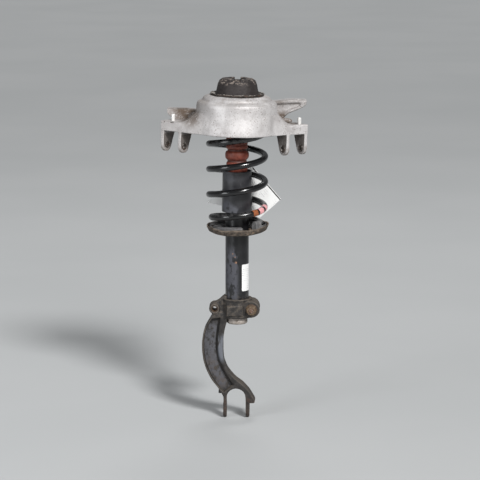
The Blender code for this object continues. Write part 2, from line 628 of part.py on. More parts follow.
def build_fork(frame, casting):
    fork = make_object("damper_fork", prism(fork_outline(), -20.0, 20.0, "Y"), frame, casting)
    combine(fork, prism(fork_side(), -90.0, 60.0, "X"), "INTERSECT")
    for side in (-1.0, 1.0):
        pocket = loft(web_pocket(0.0), side * WEB_HALF_THICKNESS,
                      web_pocket(FLANGE_SLOPE), side * (ARM_HALF_DEPTH + 0.5), "Y")
        combine(fork, pocket)
    clamp = [(0.0, CLAMP_HIGH), (CLAMP_RADIUS - 1.5, CLAMP_HIGH), (CLAMP_RADIUS, CLAMP_HIGH - 2.0),
             (CLAMP_RADIUS, CLAMP_LOW + 2.0), (CLAMP_RADIUS - 2.0, CLAMP_LOW), (0.0, CLAMP_LOW)]
    combine(fork, turned(clamp, 32), "UNION")
    combine(fork, prism(shoulder_outline(), -13.0, 13.0, "Y"), "UNION")
    ear = [(10.0, 231.0)] + arc(EAR_CENTRE, EAR_RADIUS, -90.0, 90.0, 8) + [(10.0, 267.0)]
    combine(fork, prism(ear, -EAR_HALF_WIDTH, EAR_HALF_WIDTH, "Y"), "UNION")
    panel = [(-22.0, 236.0), (13.0, 236.0), (13.0, 257.0), (-22.0, 257.0)]
    combine(fork, prism(panel, -CLAMP_RADIUS - 1.5, -20.0, "Y"), "UNION")
    boss = [(0.0, LINK_HALF_LENGTH + 1.5), (10.8, LINK_HALF_LENGTH + 1.5), (10.8, LINK_HALF_LENGTH),
            (LINK_BOSS_RADIUS, LINK_HALF_LENGTH - 1.0), (LINK_BOSS_RADIUS, 1.0 - LINK_HALF_LENGTH),
            (10.8, -LINK_HALF_LENGTH), (10.8, -LINK_HALF_LENGTH - 1.5),
            (0.0, -LINK_HALF_LENGTH - 1.5)]
    combine(fork, shift(aim(turned(boss, 18), "Y"), LINK_BOSS[0], 0.0, LINK_BOSS[1]), "UNION")
    for low, high in ((LEFT_PRONG[0] - FOOT_THICKENING, LEFT_PRONG[1] - 1.0),
                      (RIGHT_PRONG[0] + 1.0, RIGHT_PRONG[1] + FOOT_THICKENING)):
        foot = aim(rod_shape(FOOT_RADIUS - 0.2, low, high, 20), "X")
        combine(fork, shift(foot, 0.0, 0.0, BOLT_HEIGHT), "UNION")
    combine(fork, rod_shape(CLAMP_BORE, 200.0, 300.0, 32))
    slit = [(15.0, 200.0), (70.0, 200.0), (70.0, 300.0), (15.0, 300.0)]
    combine(fork, prism(slit, -SLIT_HALF_WIDTH, SLIT_HALF_WIDTH, "Y"))
    pinch_hole = aim(rod_shape(PINCH_BOLT_RADIUS + GAP, -60.0, 60.0), "Y")
    combine(fork, shift(pinch_hole, EAR_CENTRE[0], 0.0, EAR_CENTRE[1]))
    link_hole = aim(rod_shape(LINK_BORE, -60.0, 60.0, 20), "Y")
    combine(fork, shift(link_hole, LINK_BOSS[0], 0.0, LINK_BOSS[1]))
    foot_hole = aim(rod_shape(FOOT_HOLE_RADIUS, -60.0, 60.0), "X")
    combine(fork, shift(foot_hole, 0.0, 0.0, BOLT_HEIGHT))


def build_pinch_bolt(frame, zinc, brass):
    """The bolt that closes the clamp, with its head at the back and its nut at the front."""
    face = EAR_HALF_WIDTH + GAP
    bolt = [(0.0, face + 8.0), (6.5, face + 8.0), (8.0, face + 6.5), (8.0, face + 2.5),
            (11.5, face + 2.0), (11.5, face), (PINCH_BOLT_RADIUS, face),
            (PINCH_BOLT_RADIUS, -face - 13.5), (PINCH_BOLT_RADIUS - 1.2, -face - 15.0),
            (0.0, -face - 15.0)]
    shape = shift(aim(turned(bolt, 20), "Y"), EAR_CENTRE[0], 0.0, EAR_CENTRE[1])
    make_object("pinch_bolt", shape, frame, zinc)
    flange = shift(aim(rod_shape(12.5, -face - 2.5, -face), "Y"), EAR_CENTRE[0], 0.0, EAR_CENTRE[1])
    nut = make_object("pinch_nut", flange, frame, brass)
    hexagon = rod_shape(9.8, -face - 11.5, -face - 1.0, 6)
    bmesh.ops.rotate(hexagon, verts=hexagon.verts, matrix=Matrix.Rotation(math.radians(10), 3, "Z"))
    aim(hexagon, "Y")
    combine(nut, shift(hexagon, EAR_CENTRE[0], 0.0, EAR_CENTRE[1]), "UNION")
    thread = aim(rod_shape(PINCH_BOLT_RADIUS + GAP, -60.0, 0.0), "Y")
    combine(nut, shift(thread, EAR_CENTRE[0], 0.0, EAR_CENTRE[1]))


def build_link_bush(frame, brass):
    half = LINK_HALF_LENGTH + 1.0
    bush = aim(ring_shape(LINK_BORE - GAP, 5.6, -half, half, 20), "Y")
    make_object("link_bush", shift(bush, LINK_BOSS[0], 0.0, LINK_BOSS[1]), frame, brass)


def build_shipping_tag(frame, paper):
    """A blank card that hangs askew behind the coil, two of its corners folded off."""
    outline = [(97.0, 477.0), (37.0, 548.0), (21.0, 548.0), (-66.5, 470.0), (-30.0, 462.0),
               (3.0, 395.0)]
    back = COIL_RADIUS + WIRE_RADIUS + 1.0
    make_object("shipping_tag", prism(outline, back, back + 0.8, "Y"), frame, paper)


def build_strut():
    clear_scene()
    aluminium = make_material("cast_aluminium", (0.55, 0.53, 0.51), 0.55, 0.6)
    bright = make_material("bright_steel", (0.75, 0.75, 0.74), 0.25, 1.0)
    steel = make_material("rusty_steel", (0.12, 0.09, 0.07), 0.6, 0.6)
    black_rubber = make_material("black_rubber", (0.03, 0.028, 0.027), 0.8)
    gray_rubber = make_material("gray_rubber", (0.11, 0.11, 0.11), 0.85)
    spring_black = make_material("spring_coating", (0.012, 0.012, 0.013), 0.3)
    tube_black = make_material("tube_paint", (0.014, 0.014, 0.016), 0.4)
    bump_red = make_material("bump_foam", (0.17, 0.04, 0.03), 0.7)
    dark_plastic = make_material("dark_plastic", (0.035, 0.035, 0.04), 0.45)
    perch_brown = make_material("perch_steel", (0.10, 0.075, 0.055), 0.75, 0.3)
    fork_iron = make_material("fork_iron", (0.045, 0.042, 0.04), 0.6, 0.4)
    nut_brass = make_material("yellow_zinc", (0.30, 0.19, 0.09), 0.45, 0.9)
    paper = make_material("white_paper", (0.85, 0.85, 0.84), 0.7)

    strut = make_frame("strut_frame", -ORIGIN_HEIGHT)
    bush = make_frame("bush_frame", BUSH_CENTRE, strut, (0.0, BRACKET_LEAN, 0.0))
    head = make_frame("bracket_frame", BRACKET_BASE - BUSH_CENTRE, bush)
    perch = make_frame("perch_frame", PERCH_FLOOR, strut, (0.0, -PERCH_TILT, 0.0))
    fork = make_frame("fork_frame", 0.0, strut, (0.0, 0.0, FORK_YAW))

    build_bracket(head, aluminium)
    build_locating_pins(head, bright)
    build_clevis_bushes(head, bright)
    build_bearing(head, steel, black_rubber)
    build_upper_seat(head, steel, gray_rubber)
    build_rod_end(strut, steel, bright)
    make_object("coil_spring", spring_shape(), strut, spring_black, 60.0)
    build_damper(strut, tube_black, steel, black_rubber, dark_plastic, bump_red, nut_brass)
    build_perch(perch, perch_brown, gray_rubber)
    build_tube_label(strut, paper)
    build_fork(fork, fork_iron)
    build_pinch_bolt(fork, steel, nut_brass)
    build_link_bush(fork, nut_brass)
    build_shipping_tag(strut, paper)


build_strut()
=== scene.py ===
"""Looks for a suspension strut: detailed meshes, worn materials, a pale floor, lights and camera.

Sizes are in millimetres and heights are measured up from the tips of the fork, until a mesh is made.
"""

import json
import math
from functools import reduce

import bmesh
import bpy
import numpy as np
from mathutils import Matrix, Vector, noise


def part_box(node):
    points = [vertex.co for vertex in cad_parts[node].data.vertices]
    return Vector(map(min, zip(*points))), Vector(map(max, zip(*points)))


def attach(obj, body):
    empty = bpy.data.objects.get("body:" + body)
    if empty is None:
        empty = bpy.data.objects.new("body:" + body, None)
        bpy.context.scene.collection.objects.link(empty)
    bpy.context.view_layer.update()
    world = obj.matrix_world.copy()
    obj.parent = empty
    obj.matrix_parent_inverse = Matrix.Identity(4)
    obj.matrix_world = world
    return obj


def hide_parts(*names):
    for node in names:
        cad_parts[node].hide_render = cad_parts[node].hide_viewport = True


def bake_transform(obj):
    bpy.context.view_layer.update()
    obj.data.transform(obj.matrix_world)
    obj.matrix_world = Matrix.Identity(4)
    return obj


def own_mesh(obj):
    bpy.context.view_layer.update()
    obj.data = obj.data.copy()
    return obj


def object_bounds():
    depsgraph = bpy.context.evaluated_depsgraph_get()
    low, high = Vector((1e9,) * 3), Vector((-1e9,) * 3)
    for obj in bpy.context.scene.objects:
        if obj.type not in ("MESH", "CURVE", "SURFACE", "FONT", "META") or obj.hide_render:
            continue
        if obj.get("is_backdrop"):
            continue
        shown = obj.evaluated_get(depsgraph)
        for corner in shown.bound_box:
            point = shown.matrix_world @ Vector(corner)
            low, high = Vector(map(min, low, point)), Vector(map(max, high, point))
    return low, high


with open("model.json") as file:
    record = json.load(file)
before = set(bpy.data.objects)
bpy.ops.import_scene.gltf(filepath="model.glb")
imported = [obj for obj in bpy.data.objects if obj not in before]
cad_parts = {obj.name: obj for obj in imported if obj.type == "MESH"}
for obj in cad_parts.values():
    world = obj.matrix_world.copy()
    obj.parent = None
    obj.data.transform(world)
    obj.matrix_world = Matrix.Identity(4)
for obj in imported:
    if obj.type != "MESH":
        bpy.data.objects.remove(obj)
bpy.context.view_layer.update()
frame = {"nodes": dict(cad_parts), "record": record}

MM = 0.001
ORIGIN_HEIGHT = -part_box("damper_fork")[0].z / MM + 1.5

# Frames that the CAD model's groups of pieces are measured from.
STRUT = Matrix.Scale(MM, 4) @ Matrix.Translation((0, 0, -ORIGIN_HEIGHT))
BUSH_CENTRE = 708
BRACKET_BASE = 634
BRACKET = (STRUT @ Matrix.Translation((0, 0, BUSH_CENTRE)) @ Matrix.Rotation(math.radians(1.5), 4, "Y")
           @ Matrix.Translation((0, 0, BRACKET_BASE - BUSH_CENTRE)))
PERCH_FLOOR = 416
PERCH = (STRUT @ Matrix.Translation((0, 0, PERCH_FLOOR)) @ Matrix.Rotation(math.radians(-1.3), 4, "Y"))
FORK = STRUT @ Matrix.Rotation(math.radians(-1.5), 4, "Z")

DOME_HEIGHT = 81.5
DOME_FACETS = 40
ARM_TOP = 21
RUBBER_TOP = 752.5
RUBBER_FACETS = 28
WASHER_BOTTOM = 726.3
STOP_TOP = 686
PERCH_SHIFT = 2
TUBE_RADIUS = 25.5
TUBE_BOTTOM = 229
TUBE_TOP = 492
EAR_CENTRE = (32, 248.5)
EAR_HALF_WIDTH = 26
LINK_BOSS = (-49, 248.5)
LINK_HALF_LENGTH = 18
GAP = 0.3
STRUT_MIDDLE = Vector((0, 0, -0.34))
SLOTS = {entry["node"]: entry["material_slot"] for entry in frame["record"]["subparts"]}


# ---- meshes

def mesh_of(name, shape):
    mesh = bpy.data.meshes.new(name)
    shape.to_mesh(mesh)
    shape.free()
    return mesh


def placed(name, data):
    thing = bpy.data.objects.new(name, data)
    bpy.context.scene.collection.objects.link(thing)
    return thing


def add_object(name, shape, place, body, node, material, sharp=40):
    """Makes an object of a bmesh in millimetres, and lets it stand for a CAD node.

    A piece that is reshaped afterwards has no body yet.
    """
    bmesh.ops.recalc_face_normals(shape, faces=shape.faces)
    bmesh.ops.transform(shape, matrix=place, verts=shape.verts)
    mesh = mesh_of(name, shape)
    mesh.shade_smooth()
    mesh.set_sharp_from_angle(angle=math.radians(sharp))
    mesh.materials.append(material)
    piece = placed(name, mesh)
    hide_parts(node)
    if body:
        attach(piece, body)
    return piece


def rounded(profile, radius=0.8, steps=3):
    """The closed profile with each corner off the axis rounded."""
    points = []
    for index, corner in enumerate(profile):
        if corner[0] < 0.01:
            points.append(corner)
            continue
        here = Vector(corner)
        before = Vector(profile[index - 1]) - here
        after = Vector(profile[(index + 1) % len(profile)]) - here
        reach = min(radius, before.length * 0.42, after.length * 0.42)
        start = here + before.normalized() * reach
        stop = here + after.normalized() * reach
        for step in range(steps + 1):
            t = step / steps
            spot = start * (1 - t) ** 2 + here * 2 * t * (1 - t) + stop * t * t
            points.append((spot.x, spot.y))
    return points


def lathe(profile, steps=96, first=0, sweep=360):
    """A solid of revolution, or a part of one, from (radius, height) points."""
    shape = bmesh.new()
    turn = Matrix.Rotation(math.radians(first), 3, "Z")
    ring = [shape.verts.new(turn @ Vector((radius, 0, height))) for radius, height in profile]
    edges = [shape.edges.new(pair) for pair in zip(ring, ring[1:])]
    if profile[0][0] > 0:
        edges.append(shape.edges.new((ring[-1], ring[0])))
    whole = sweep >= 360
    if not whole:
        shape.faces.new(ring)
    made = bmesh.ops.spin(shape, geom=ring + edges, axis=(0, 0, 1), cent=(0, 0, 0),
                          angle=math.radians(sweep), steps=steps)
    if not whole:
        last = [item for item in made["geom_last"] if isinstance(item, bmesh.types.BMVert)]
        shape.faces.new(last)
    bmesh.ops.remove_doubles(shape, verts=shape.verts, dist=0.001)
    return shape


def turned(profile, corner=0.8, steps=96, first=0, sweep=360):
    """A solid of revolution whose profile has rounded corners."""
    return lathe(rounded(profile, corner), steps, first, sweep)


def moved(shape, x=0, y=0, z=0):
    bmesh.ops.translate(shape, vec=(x, y, z), verts=shape.verts)
    return shape


def rotated(shape, degrees, axis="Z"):
    bmesh.ops.rotate(shape, verts=shape.verts, matrix=Matrix.Rotation(math.radians(degrees), 3, axis))
    return shape


def aimed(shape, x, z):
    """Turns a shape made round Z so that it runs along Y, through (x, z)."""
    return moved(rotated(shape, -90, "X"), x, 0, z)


def block(low, high):
    """A box between two corners."""
    shape = bmesh.new()
    bmesh.ops.create_cube(shape, size=1)
    size = [b - a for a, b in zip(low, high)]
    middle = [(a + b) / 2 for a, b in zip(low, high)]
    bmesh.ops.scale(shape, vec=size, verts=shape.verts)
    return moved(shape, *middle)


def ball(centre, radii):
    shape = bmesh.new()
    bmesh.ops.create_icosphere(shape, subdivisions=3, radius=1)
    bmesh.ops.scale(shape, vec=radii, verts=shape.verts)
    return moved(shape, *centre)


def weld(shapes):
    """Several shapes in one bmesh, for a remesh to fuse."""
    whole = shapes[0]
    for shape in shapes[1:]:
        mesh = mesh_of("loose", shape)
        whole.from_mesh(mesh)
        bpy.data.meshes.remove(mesh)
    return whole


def remeshed(piece, voxel, smooth):
    """Fuses a mesh into even quads and rounds its edges, as a casting or a moulding has them."""
    remesh = piece.modifiers.new("remesh", "REMESH")
    remesh.mode = "VOXEL"
    remesh.voxel_size = voxel * MM
    remesh.use_smooth_shade = True
    soften = piece.modifiers.new("soften", "SMOOTH")
    soften.factor = 0.5
    soften.iterations = smooth
    bpy.context.view_layer.update()
    graph = bpy.context.evaluated_depsgraph_get()
    mesh = bpy.data.meshes.new_from_object(piece.evaluated_get(graph))
    mesh.materials.clear()
    mesh.materials.append(piece.data.materials[0])
    mesh.shade_smooth()
    piece.modifiers.clear()
    old = piece.data
    piece.data = mesh
    bpy.data.meshes.remove(old)


def node_shape(node, place):
    """A CAD node's mesh as a bmesh in millimetres in the given frame."""
    shape = bmesh.new()
    shape.from_mesh(frame["nodes"][node].data)
    bmesh.ops.transform(shape, matrix=place.inverted(), verts=shape.verts)
    return shape


def points_of(mesh):
    points = np.zeros(len(mesh.vertices) * 3, np.float32)
    mesh.vertices.foreach_get("co", points)
    return points.reshape(-1, 3).astype(float)


def set_points(mesh, points):
    mesh.vertices.foreach_set("co", points.astype(np.float32).ravel())
    mesh.update()


def points_in(mesh, place):
    """The mesh's points in millimetres, in one of the frames above."""
    inverse = np.array(place.inverted())
    return points_of(mesh) @ inverse[:3, :3].T + inverse[:3, 3]


def set_points_in(mesh, place, points):
    matrix = np.array(place)
    set_points(mesh, points @ matrix[:3, :3].T + matrix[:3, 3])


def make_round(points, facets, chosen):
    """Moves the chosen points of a faceted round shape out to a true circle."""
    facet = 360 / facets
    angle = np.degrees(np.arctan2(points[:, 1], points[:, 0]))
    off_middle = np.mod(angle, facet) - facet / 2
    swell = np.cos(np.radians(off_middle)) / math.cos(math.radians(facet / 2))
    points[:, :2] *= np.where(chosen, swell, 1)[:, None]


def roughen(piece, size, height, seed=0):
    """Pushes the surface in and out by smooth noise of a given size, in millimetres."""
    mesh = piece.data
    points = points_of(mesh)
    normals = np.zeros(points.size, np.float32)
    mesh.vertex_normals.foreach_get("vector", normals)
    offset = Vector((seed, seed * 0.7, seed * 1.3))
    scale = 1 / (size * MM)
    push = np.array([noise.noise(Vector(point) * scale + offset) for point in points])
    set_points(mesh, points + normals.reshape(-1, 3) * (push * height * MM)[:, None])


def smoothstep(low, high, value):
    t = np.clip((value - low) / (high - low), 0, 1)
    return t * t * (3 - 2 * t)


def window(value, start, full, fade, stop):
    """0 outside start and stop, 1 between full and fade."""
    return smoothstep(start, full, value) * (1 - smoothstep(fade, stop, value))


def soften_where(piece, share, rounds):
    """Smooths the mesh further where share, an array of 0 to 1 over its points, says so."""
    mesh = piece.data
    points = points_of(mesh)
    pairs = np.zeros(len(mesh.edges) * 2, np.int32)
    mesh.edges.foreach_get("vertices", pairs)
    pairs = pairs.reshape(-1, 2)
    count = np.bincount(pairs.ravel(), minlength=len(points)).clip(1)
    for _ in range(rounds):
        total = np.zeros_like(points)
        for column in range(3):
            total[:, column] += np.bincount(pairs[:, 0], points[pairs[:, 1], column], len(points))
            total[:, column] += np.bincount(pairs[:, 1], points[pairs[:, 0], column], len(points))
        mean = total / count[:, None]
        points += (mean - points) * (0.6 * share)[:, None]
    set_points(mesh, points)


# ---- material tools

class Finish:
    """A material, with short ways to add its nodes."""

    def __init__(self, name):
        self.material = bpy.data.materials.new(name)
        self.material.use_nodes = True
        self.nodes = self.material.node_tree.nodes
        self.links = self.material.node_tree.links
        self.shader = self.nodes["Principled BSDF"]
        self.place = self.nodes.new("ShaderNodeTexCoord").outputs["Object"]
        self.geometry = self.nodes.new("ShaderNodeNewGeometry")
        self.colour = None

    def feed(self, socket, value):
        if isinstance(value, bpy.types.NodeSocket):
            self.links.new(value, socket)
        elif isinstance(value, tuple) and len(value) == 3 and socket.type == "RGBA":
            socket.default_value = (*value, 1)
        else:
            socket.default_value = value

    def node(self, kind, inputs, **settings):
        """Adds a node and returns its outputs; inputs are (number or name, value) pairs."""
        node = self.nodes.new("ShaderNode" + kind)
        for name, value in settings.items():
            setattr(node, name, value)
        for key, value in inputs:
            self.feed(node.inputs[key], value)
        return node.outputs

    def sums(self, operation, *values):
        return self.node("Math", enumerate(values), operation=operation)[0]

    def mottle(self, size, detail=4, roughness=0.55, stretch=(1, 1, 1), seed=0):
        """Noise with features of a size in millimetres."""
        shift = (seed, seed * 0.37, seed * 0.71)
        place = self.node("Mapping", (("Vector", self.place), ("Location", shift), ("Scale", stretch)))[0]
        return self.node("TexNoise", (("Vector", place), ("Scale", 1 / (size * MM)), ("Detail", detail),
                                      ("Roughness", roughness)))[0]

    def between(self, value, low, high):
        """0 below low, 1 above high, smooth between; low may be the larger one."""
        first, last = (1, 0) if low > high else (0, 1)
        low, high = sorted((low, high))
        return self.node("MapRange", (("Value", value), ("From Min", low), ("From Max", high),
                                      ("To Min", first), ("To Max", last)),
                         interpolation_type="SMOOTHSTEP")[0]

    def spots(self, low, high, *size_and_detail, **more):
        """Patches of noise: 0 where the noise is at low, 1 where it is at high."""
        return self.between(self.mottle(*size_and_detail, **more), low, high)

    def both(self, *values):
        return reduce(lambda first, second: self.sums("MULTIPLY", first, second), values)

    def either(self, *values):
        return reduce(lambda first, second: self.sums("MAXIMUM", first, second), values)

    def near(self, spot, reach, fade=0.5):
        """1 at a spot, a strut position in millimetres, fading out at its reach."""
        ends = enumerate((self.place, STRUT @ Vector(spot)))
        away = self.node("VectorMath", ends, operation="DISTANCE")["Value"]
        return self.between(away, reach * MM, reach * fade * MM)

    def axis(self, name, source=None):
        return self.node("SeparateXYZ", [(0, source or self.place)])[name]

    def normal(self, name):
        return self.axis(name, self.geometry.outputs["Normal"])

    def height(self, low, high):
        """0 below the first height and 1 above the second, in strut heights."""
        return self.between(self.axis("Z"), (low - ORIGIN_HEIGHT) * MM, (high - ORIGIN_HEIGHT) * MM)

    def edges(self, low=0.52, high=0.6):
        return self.between(self.geometry.outputs["Pointiness"], low, high)

    def mix(self, share, first, second):
        return self.node("Mix", ((0, share), (6, first), (7, second)), data_type="RGBA")[2]

    def blend(self, share, first, second):
        return self.node("Mix", ((0, share), (2, first), (3, second)), data_type="FLOAT")[0]

    def base(self, share, first, second):
        """The undermost colour, which goes from first to second as share goes from 0 to 1."""
        self.colour = self.mix(share, first, second)

    def cover(self, share, tint, strength=1):
        """Lays a tint over the colour so far."""
        if strength < 1:
            share = self.both(share, strength)
        self.colour = self.mix(share, self.colour, tint)

    def bump(self, *layers):
        """Stacks (height, depth in millimetres) layers into the surface normal."""
        before = ()
        for height, depth in layers:
            inputs = (("Distance", depth * MM), ("Height", height), *before)
            normal = self.node("Bump", inputs)[0]
            before = (("Normal", normal),)
        self.feed(self.shader.inputs["Normal"], normal)

    def finish(self, roughness, metallic=0, coat=0, coat_roughness=0.1, specular=0.5):
        for name, value in (("Base Color", self.colour), ("Roughness", roughness), ("Metallic", metallic),
                            ("Specular IOR Level", specular), ("Coat Weight", coat),
                            ("Coat Roughness", coat_roughness)):
            self.feed(self.shader.inputs[name], value)
        return self.material


# ---- materials

def cast_aluminium():
    """Sandy pale casting with brown dirt in its corners, painted shade on the inner faces of its lugs and
    on its downward faces, and a painted darker left side.
    """
    f = Finish("cast_aluminium")
    clouds = f.mottle(38, 5, 0.6)
    sand = f.mottle(1.1, 3, 0.75)
    streaks = f.mottle(12, 5, 0.7, (1, 1, 0.5), 3)
    f.base(f.between(clouds, 0.34, 0.62), (0.445, 0.425, 0.42), (0.6, 0.58, 0.575))
    f.cover(f.between(streaks, 0.5, 0.68), (0.36, 0.335, 0.33), 0.35)
    f.cover(f.between(sand, 0.52, 0.68), (0.25, 0.23, 0.225), 0.5)
    pits = f.both(f.spots(0.61, 0.66, 2.8, 2, 0.5, seed=7), f.spots(0.38, 0.55, 40, 2, seed=5))
    f.cover(pits, (0.14, 0.105, 0.08), 0.7)
    # Painted shade: the bracket's left side darkened, as light falls from the right.
    painted_shade_left = f.between(f.axis("X"), -0.045, -0.095)
    f.cover(painted_shade_left, (0.36, 0.33, 0.315), 0.35)
    dirt_places = f.either(f.near((-92, 8, 668), 46, 0.45), f.both(f.near((-98, -34, 673), 34, 0.3), 0.8),
                           f.both(f.near((112, 12, 655), 26, 0.5), 0.85), f.near((-112, 52, 676), 52, 0.2),
                           f.both(f.near((-82, -20, 700), 40, 0.1), 0.45), f.near((98, 46, 658), 26, 0.3),
                           f.both(f.near((88, 40, 700), 34, 0.2), 0.7),
                           f.both(f.near((132, 60, 700), 36, 0.2), 0.35))
    dirt_noise = f.spots(0.34, 0.5, 8, 6, 0.8, seed=2)
    dirt = f.both(dirt_places, dirt_noise)
    f.cover(dirt, (0.085, 0.055, 0.034), 0.94)
    # Painted shade on the lugs' inner faces and on downward faces, broken up by noise.
    inward = f.between(f.sums("MULTIPLY", f.normal("X"), f.axis("X")), -0.035, -0.075)
    hanging = f.between(f.axis("Z"), -0.079, -0.087)
    below = f.between(f.normal("Z"), -0.5, -0.8)
    shade_breakup = f.spots(0.12, 0.4, 9, 4, 0.7, seed=4)
    tips = f.between(f.axis("Z"), -0.122, -0.108)
    shade = f.both(f.either(f.both(inward, hanging, tips), f.both(below, 0.6)), shade_breakup)
    f.cover(shade, (0.085, 0.07, 0.06), 0.88)
    tip_dirt = f.both(f.between(f.axis("Z"), -0.106, -0.118), f.spots(0.25, 0.6, 6, 5, 0.7, seed=11))
    f.cover(tip_dirt, (0.2, 0.17, 0.15), 0.7)
    top_marks = f.both(f.spots(0.44, 0.6, 16, 5, 0.65, seed=9), f.height(690, 712))
    f.cover(top_marks, (0.3, 0.265, 0.24), 0.45)
    # Hollows darkened by pointiness: brownish grime together with painted shade.
    corners = f.both(f.edges(0.485, 0.44), f.between(streaks, 0.3, 0.6))
    f.cover(corners, (0.17, 0.14, 0.12), 0.6)
    f.cover(f.edges(0.53, 0.62), (0.78, 0.75, 0.73), 0.5)
    rough = f.blend(f.either(dirt, shade), f.blend(clouds, 0.62, 0.42), 0.85)
    f.bump((clouds, 1), (sand, 0.3), (streaks, 0.6))
    return f.finish(rough, f.blend(f.either(dirt, shade), 0.3, 0))


def bright_steel():
    f = Finish("bright_steel")
    grime = f.spots(0.5, 0.7, 3, 4, 0.7)
    rings = f.mottle(0.5, 2, 0.5, (1, 1, 6), 2)
    f.base(f.both(grime, 0.5), (0.78, 0.77, 0.75), (0.3, 0.26, 0.22))
    f.bump((rings, 0.06), (grime, 0.05))
    return f.finish(f.blend(grime, 0.24, 0.55), f.blend(grime, 1, 0.5))


def pin_steel():
    """Bright plated pins with a dull haze and a few brown marks."""
    f = Finish("pin_steel")
    haze = f.mottle(2.5, 4, 0.65)
    marks = f.spots(0.6, 0.68, 1.4, 4, 0.7, seed=5)
    f.base(haze, (0.72, 0.71, 0.69), (0.86, 0.85, 0.83))
    f.cover(marks, (0.33, 0.26, 0.2), 0.6)
    f.bump((haze, 0.1), (marks, 0.05))
    return f.finish(f.blend(haze, 0.34, 0.5), 0.35)


def rusty_steel(name="rusty_steel", bare=(0.05, 0.042, 0.037), speck=(0.5, 0.46, 0.42)):
    """Dark sheet steel, rusted in patches, with bright specks on its upward faces."""
    f = Finish(name)
    patches = f.spots(0.46, 0.66, 9, 6, 0.7)
    fine = f.mottle(1.6, 5, 0.7, seed=3)
    rust = f.mix(fine, (0.12, 0.06, 0.035), (0.045, 0.026, 0.019))
    f.base(f.both(patches, 0.75), bare, rust)
    bright_patch = f.both(f.spots(0.47, 0.55, 12, 5, 0.72, seed=8), f.between(f.normal("Z"), 0.1, 0.6))
    f.cover(bright_patch, speck)
    f.bump((f.mottle(6, 5, 0.65, seed=1), 0.7), (fine, 0.25))
    return f.finish(f.blend(patches, 0.5, 0.82), f.blend(patches, 0.7, 0.1))


def black_rubber():
    """Moulded rubber, scuffed gray-brown along its upper edge."""
    f = Finish("black_rubber")
    grain = f.mottle(1.2, 4, 0.7)
    scuffs = f.both(f.spots(0.51, 0.57, 9, 6, 0.7, (1, 1, 2.8), 4), f.spots(0.38, 0.5, 19, 2, 0.5, seed=8),
                    f.height(737, 745))
    film = f.spots(0.35, 0.7, 22, 4, 0.6, seed=2)
    f.base(film, (0.021, 0.017, 0.0165), (0.036, 0.03, 0.029))
    f.cover(scuffs, (0.27, 0.225, 0.195), 0.8)
    worn = f.both(f.edges(0.53, 0.6), f.between(grain, 0.45, 0.65))
    f.cover(worn, (0.17, 0.145, 0.13), 0.5)
    f.bump((f.mottle(5, 5, 0.7, seed=6), 0.9), (grain, 0.2))
    return f.finish(f.blend(scuffs, 0.62, 0.9), specular=0.3)


def gray_rubber():
    f = Finish("gray_rubber")
    dust = f.spots(0.35, 0.7, 12, 5, 0.65)
    brown = f.spots(0.55, 0.7, 8, 5, 0.7, seed=5)
    f.base(dust, (0.1, 0.098, 0.1), (0.2, 0.197, 0.2))
    f.cover(brown, (0.1, 0.075, 0.055), 0.7)
    f.bump((f.mottle(1, 4, 0.7), 0.15), (f.mottle(9, 3), 0.5))
    return f.finish(f.blend(dust, 0.6, 0.85))


def bump_foam():
    """Dark red foam with a closed skin."""
    f = Finish("bump_foam")
    clouds = f.mottle(11, 5, 0.6)
    cells = f.mottle(1.1, 3, 0.7, seed=2)
    f.base(f.between(clouds, 0.35, 0.68), (0.125, 0.024, 0.014), (0.215, 0.052, 0.03))
    dust = f.spots(0.55, 0.7, 5, 5, 0.7, seed=5)
    f.cover(dust, (0.28, 0.12, 0.08), 0.35)
    # Painted shade: the foam's two grooves darkened.
    groove_shade = f.either(f.both(f.height(594.5, 596.5), f.height(601, 599)),
                      f.both(f.height(570.5, 572.5), f.height(577, 575)))
    f.cover(groove_shade, (0.035, 0.012, 0.009), 0.75)
    f.bump((clouds, 0.8), (cells, 0.22))
    return f.finish(f.blend(clouds, 0.42, 0.62))


def dust_tube_plastic():
    """Satin dark plastic with pale smears of dust, thickest low on the left."""
    f = Finish("dark_plastic")
    smear = f.mottle(16, 5, 0.6, (1, 1, 0.6))
    places = f.either(f.near((-22, -24, 472), 22, 0.45), f.near((-8, -32, 466), 16, 0.4),
                      f.both(f.near((-20, -26, 545), 26, 0.3), 0.6))
    dust = f.both(places, f.between(smear, 0.4, 0.47))
    haze = f.spots(0.3, 0.8, 30, 3, seed=4)
    f.base(haze, (0.0155, 0.0155, 0.0175), (0.034, 0.034, 0.038))
    f.cover(dust, (0.105, 0.108, 0.125), 0.75)
    specks = f.spots(0.68, 0.73, 1.8, 2, seed=9)
    f.cover(specks, (0.15, 0.14, 0.13), 0.5)
    f.bump((f.mottle(1.5, 3), 0.05), (dust, 0.08))
    return f.finish(f.blend(dust, f.blend(haze, 0.26, 0.4), 0.8))


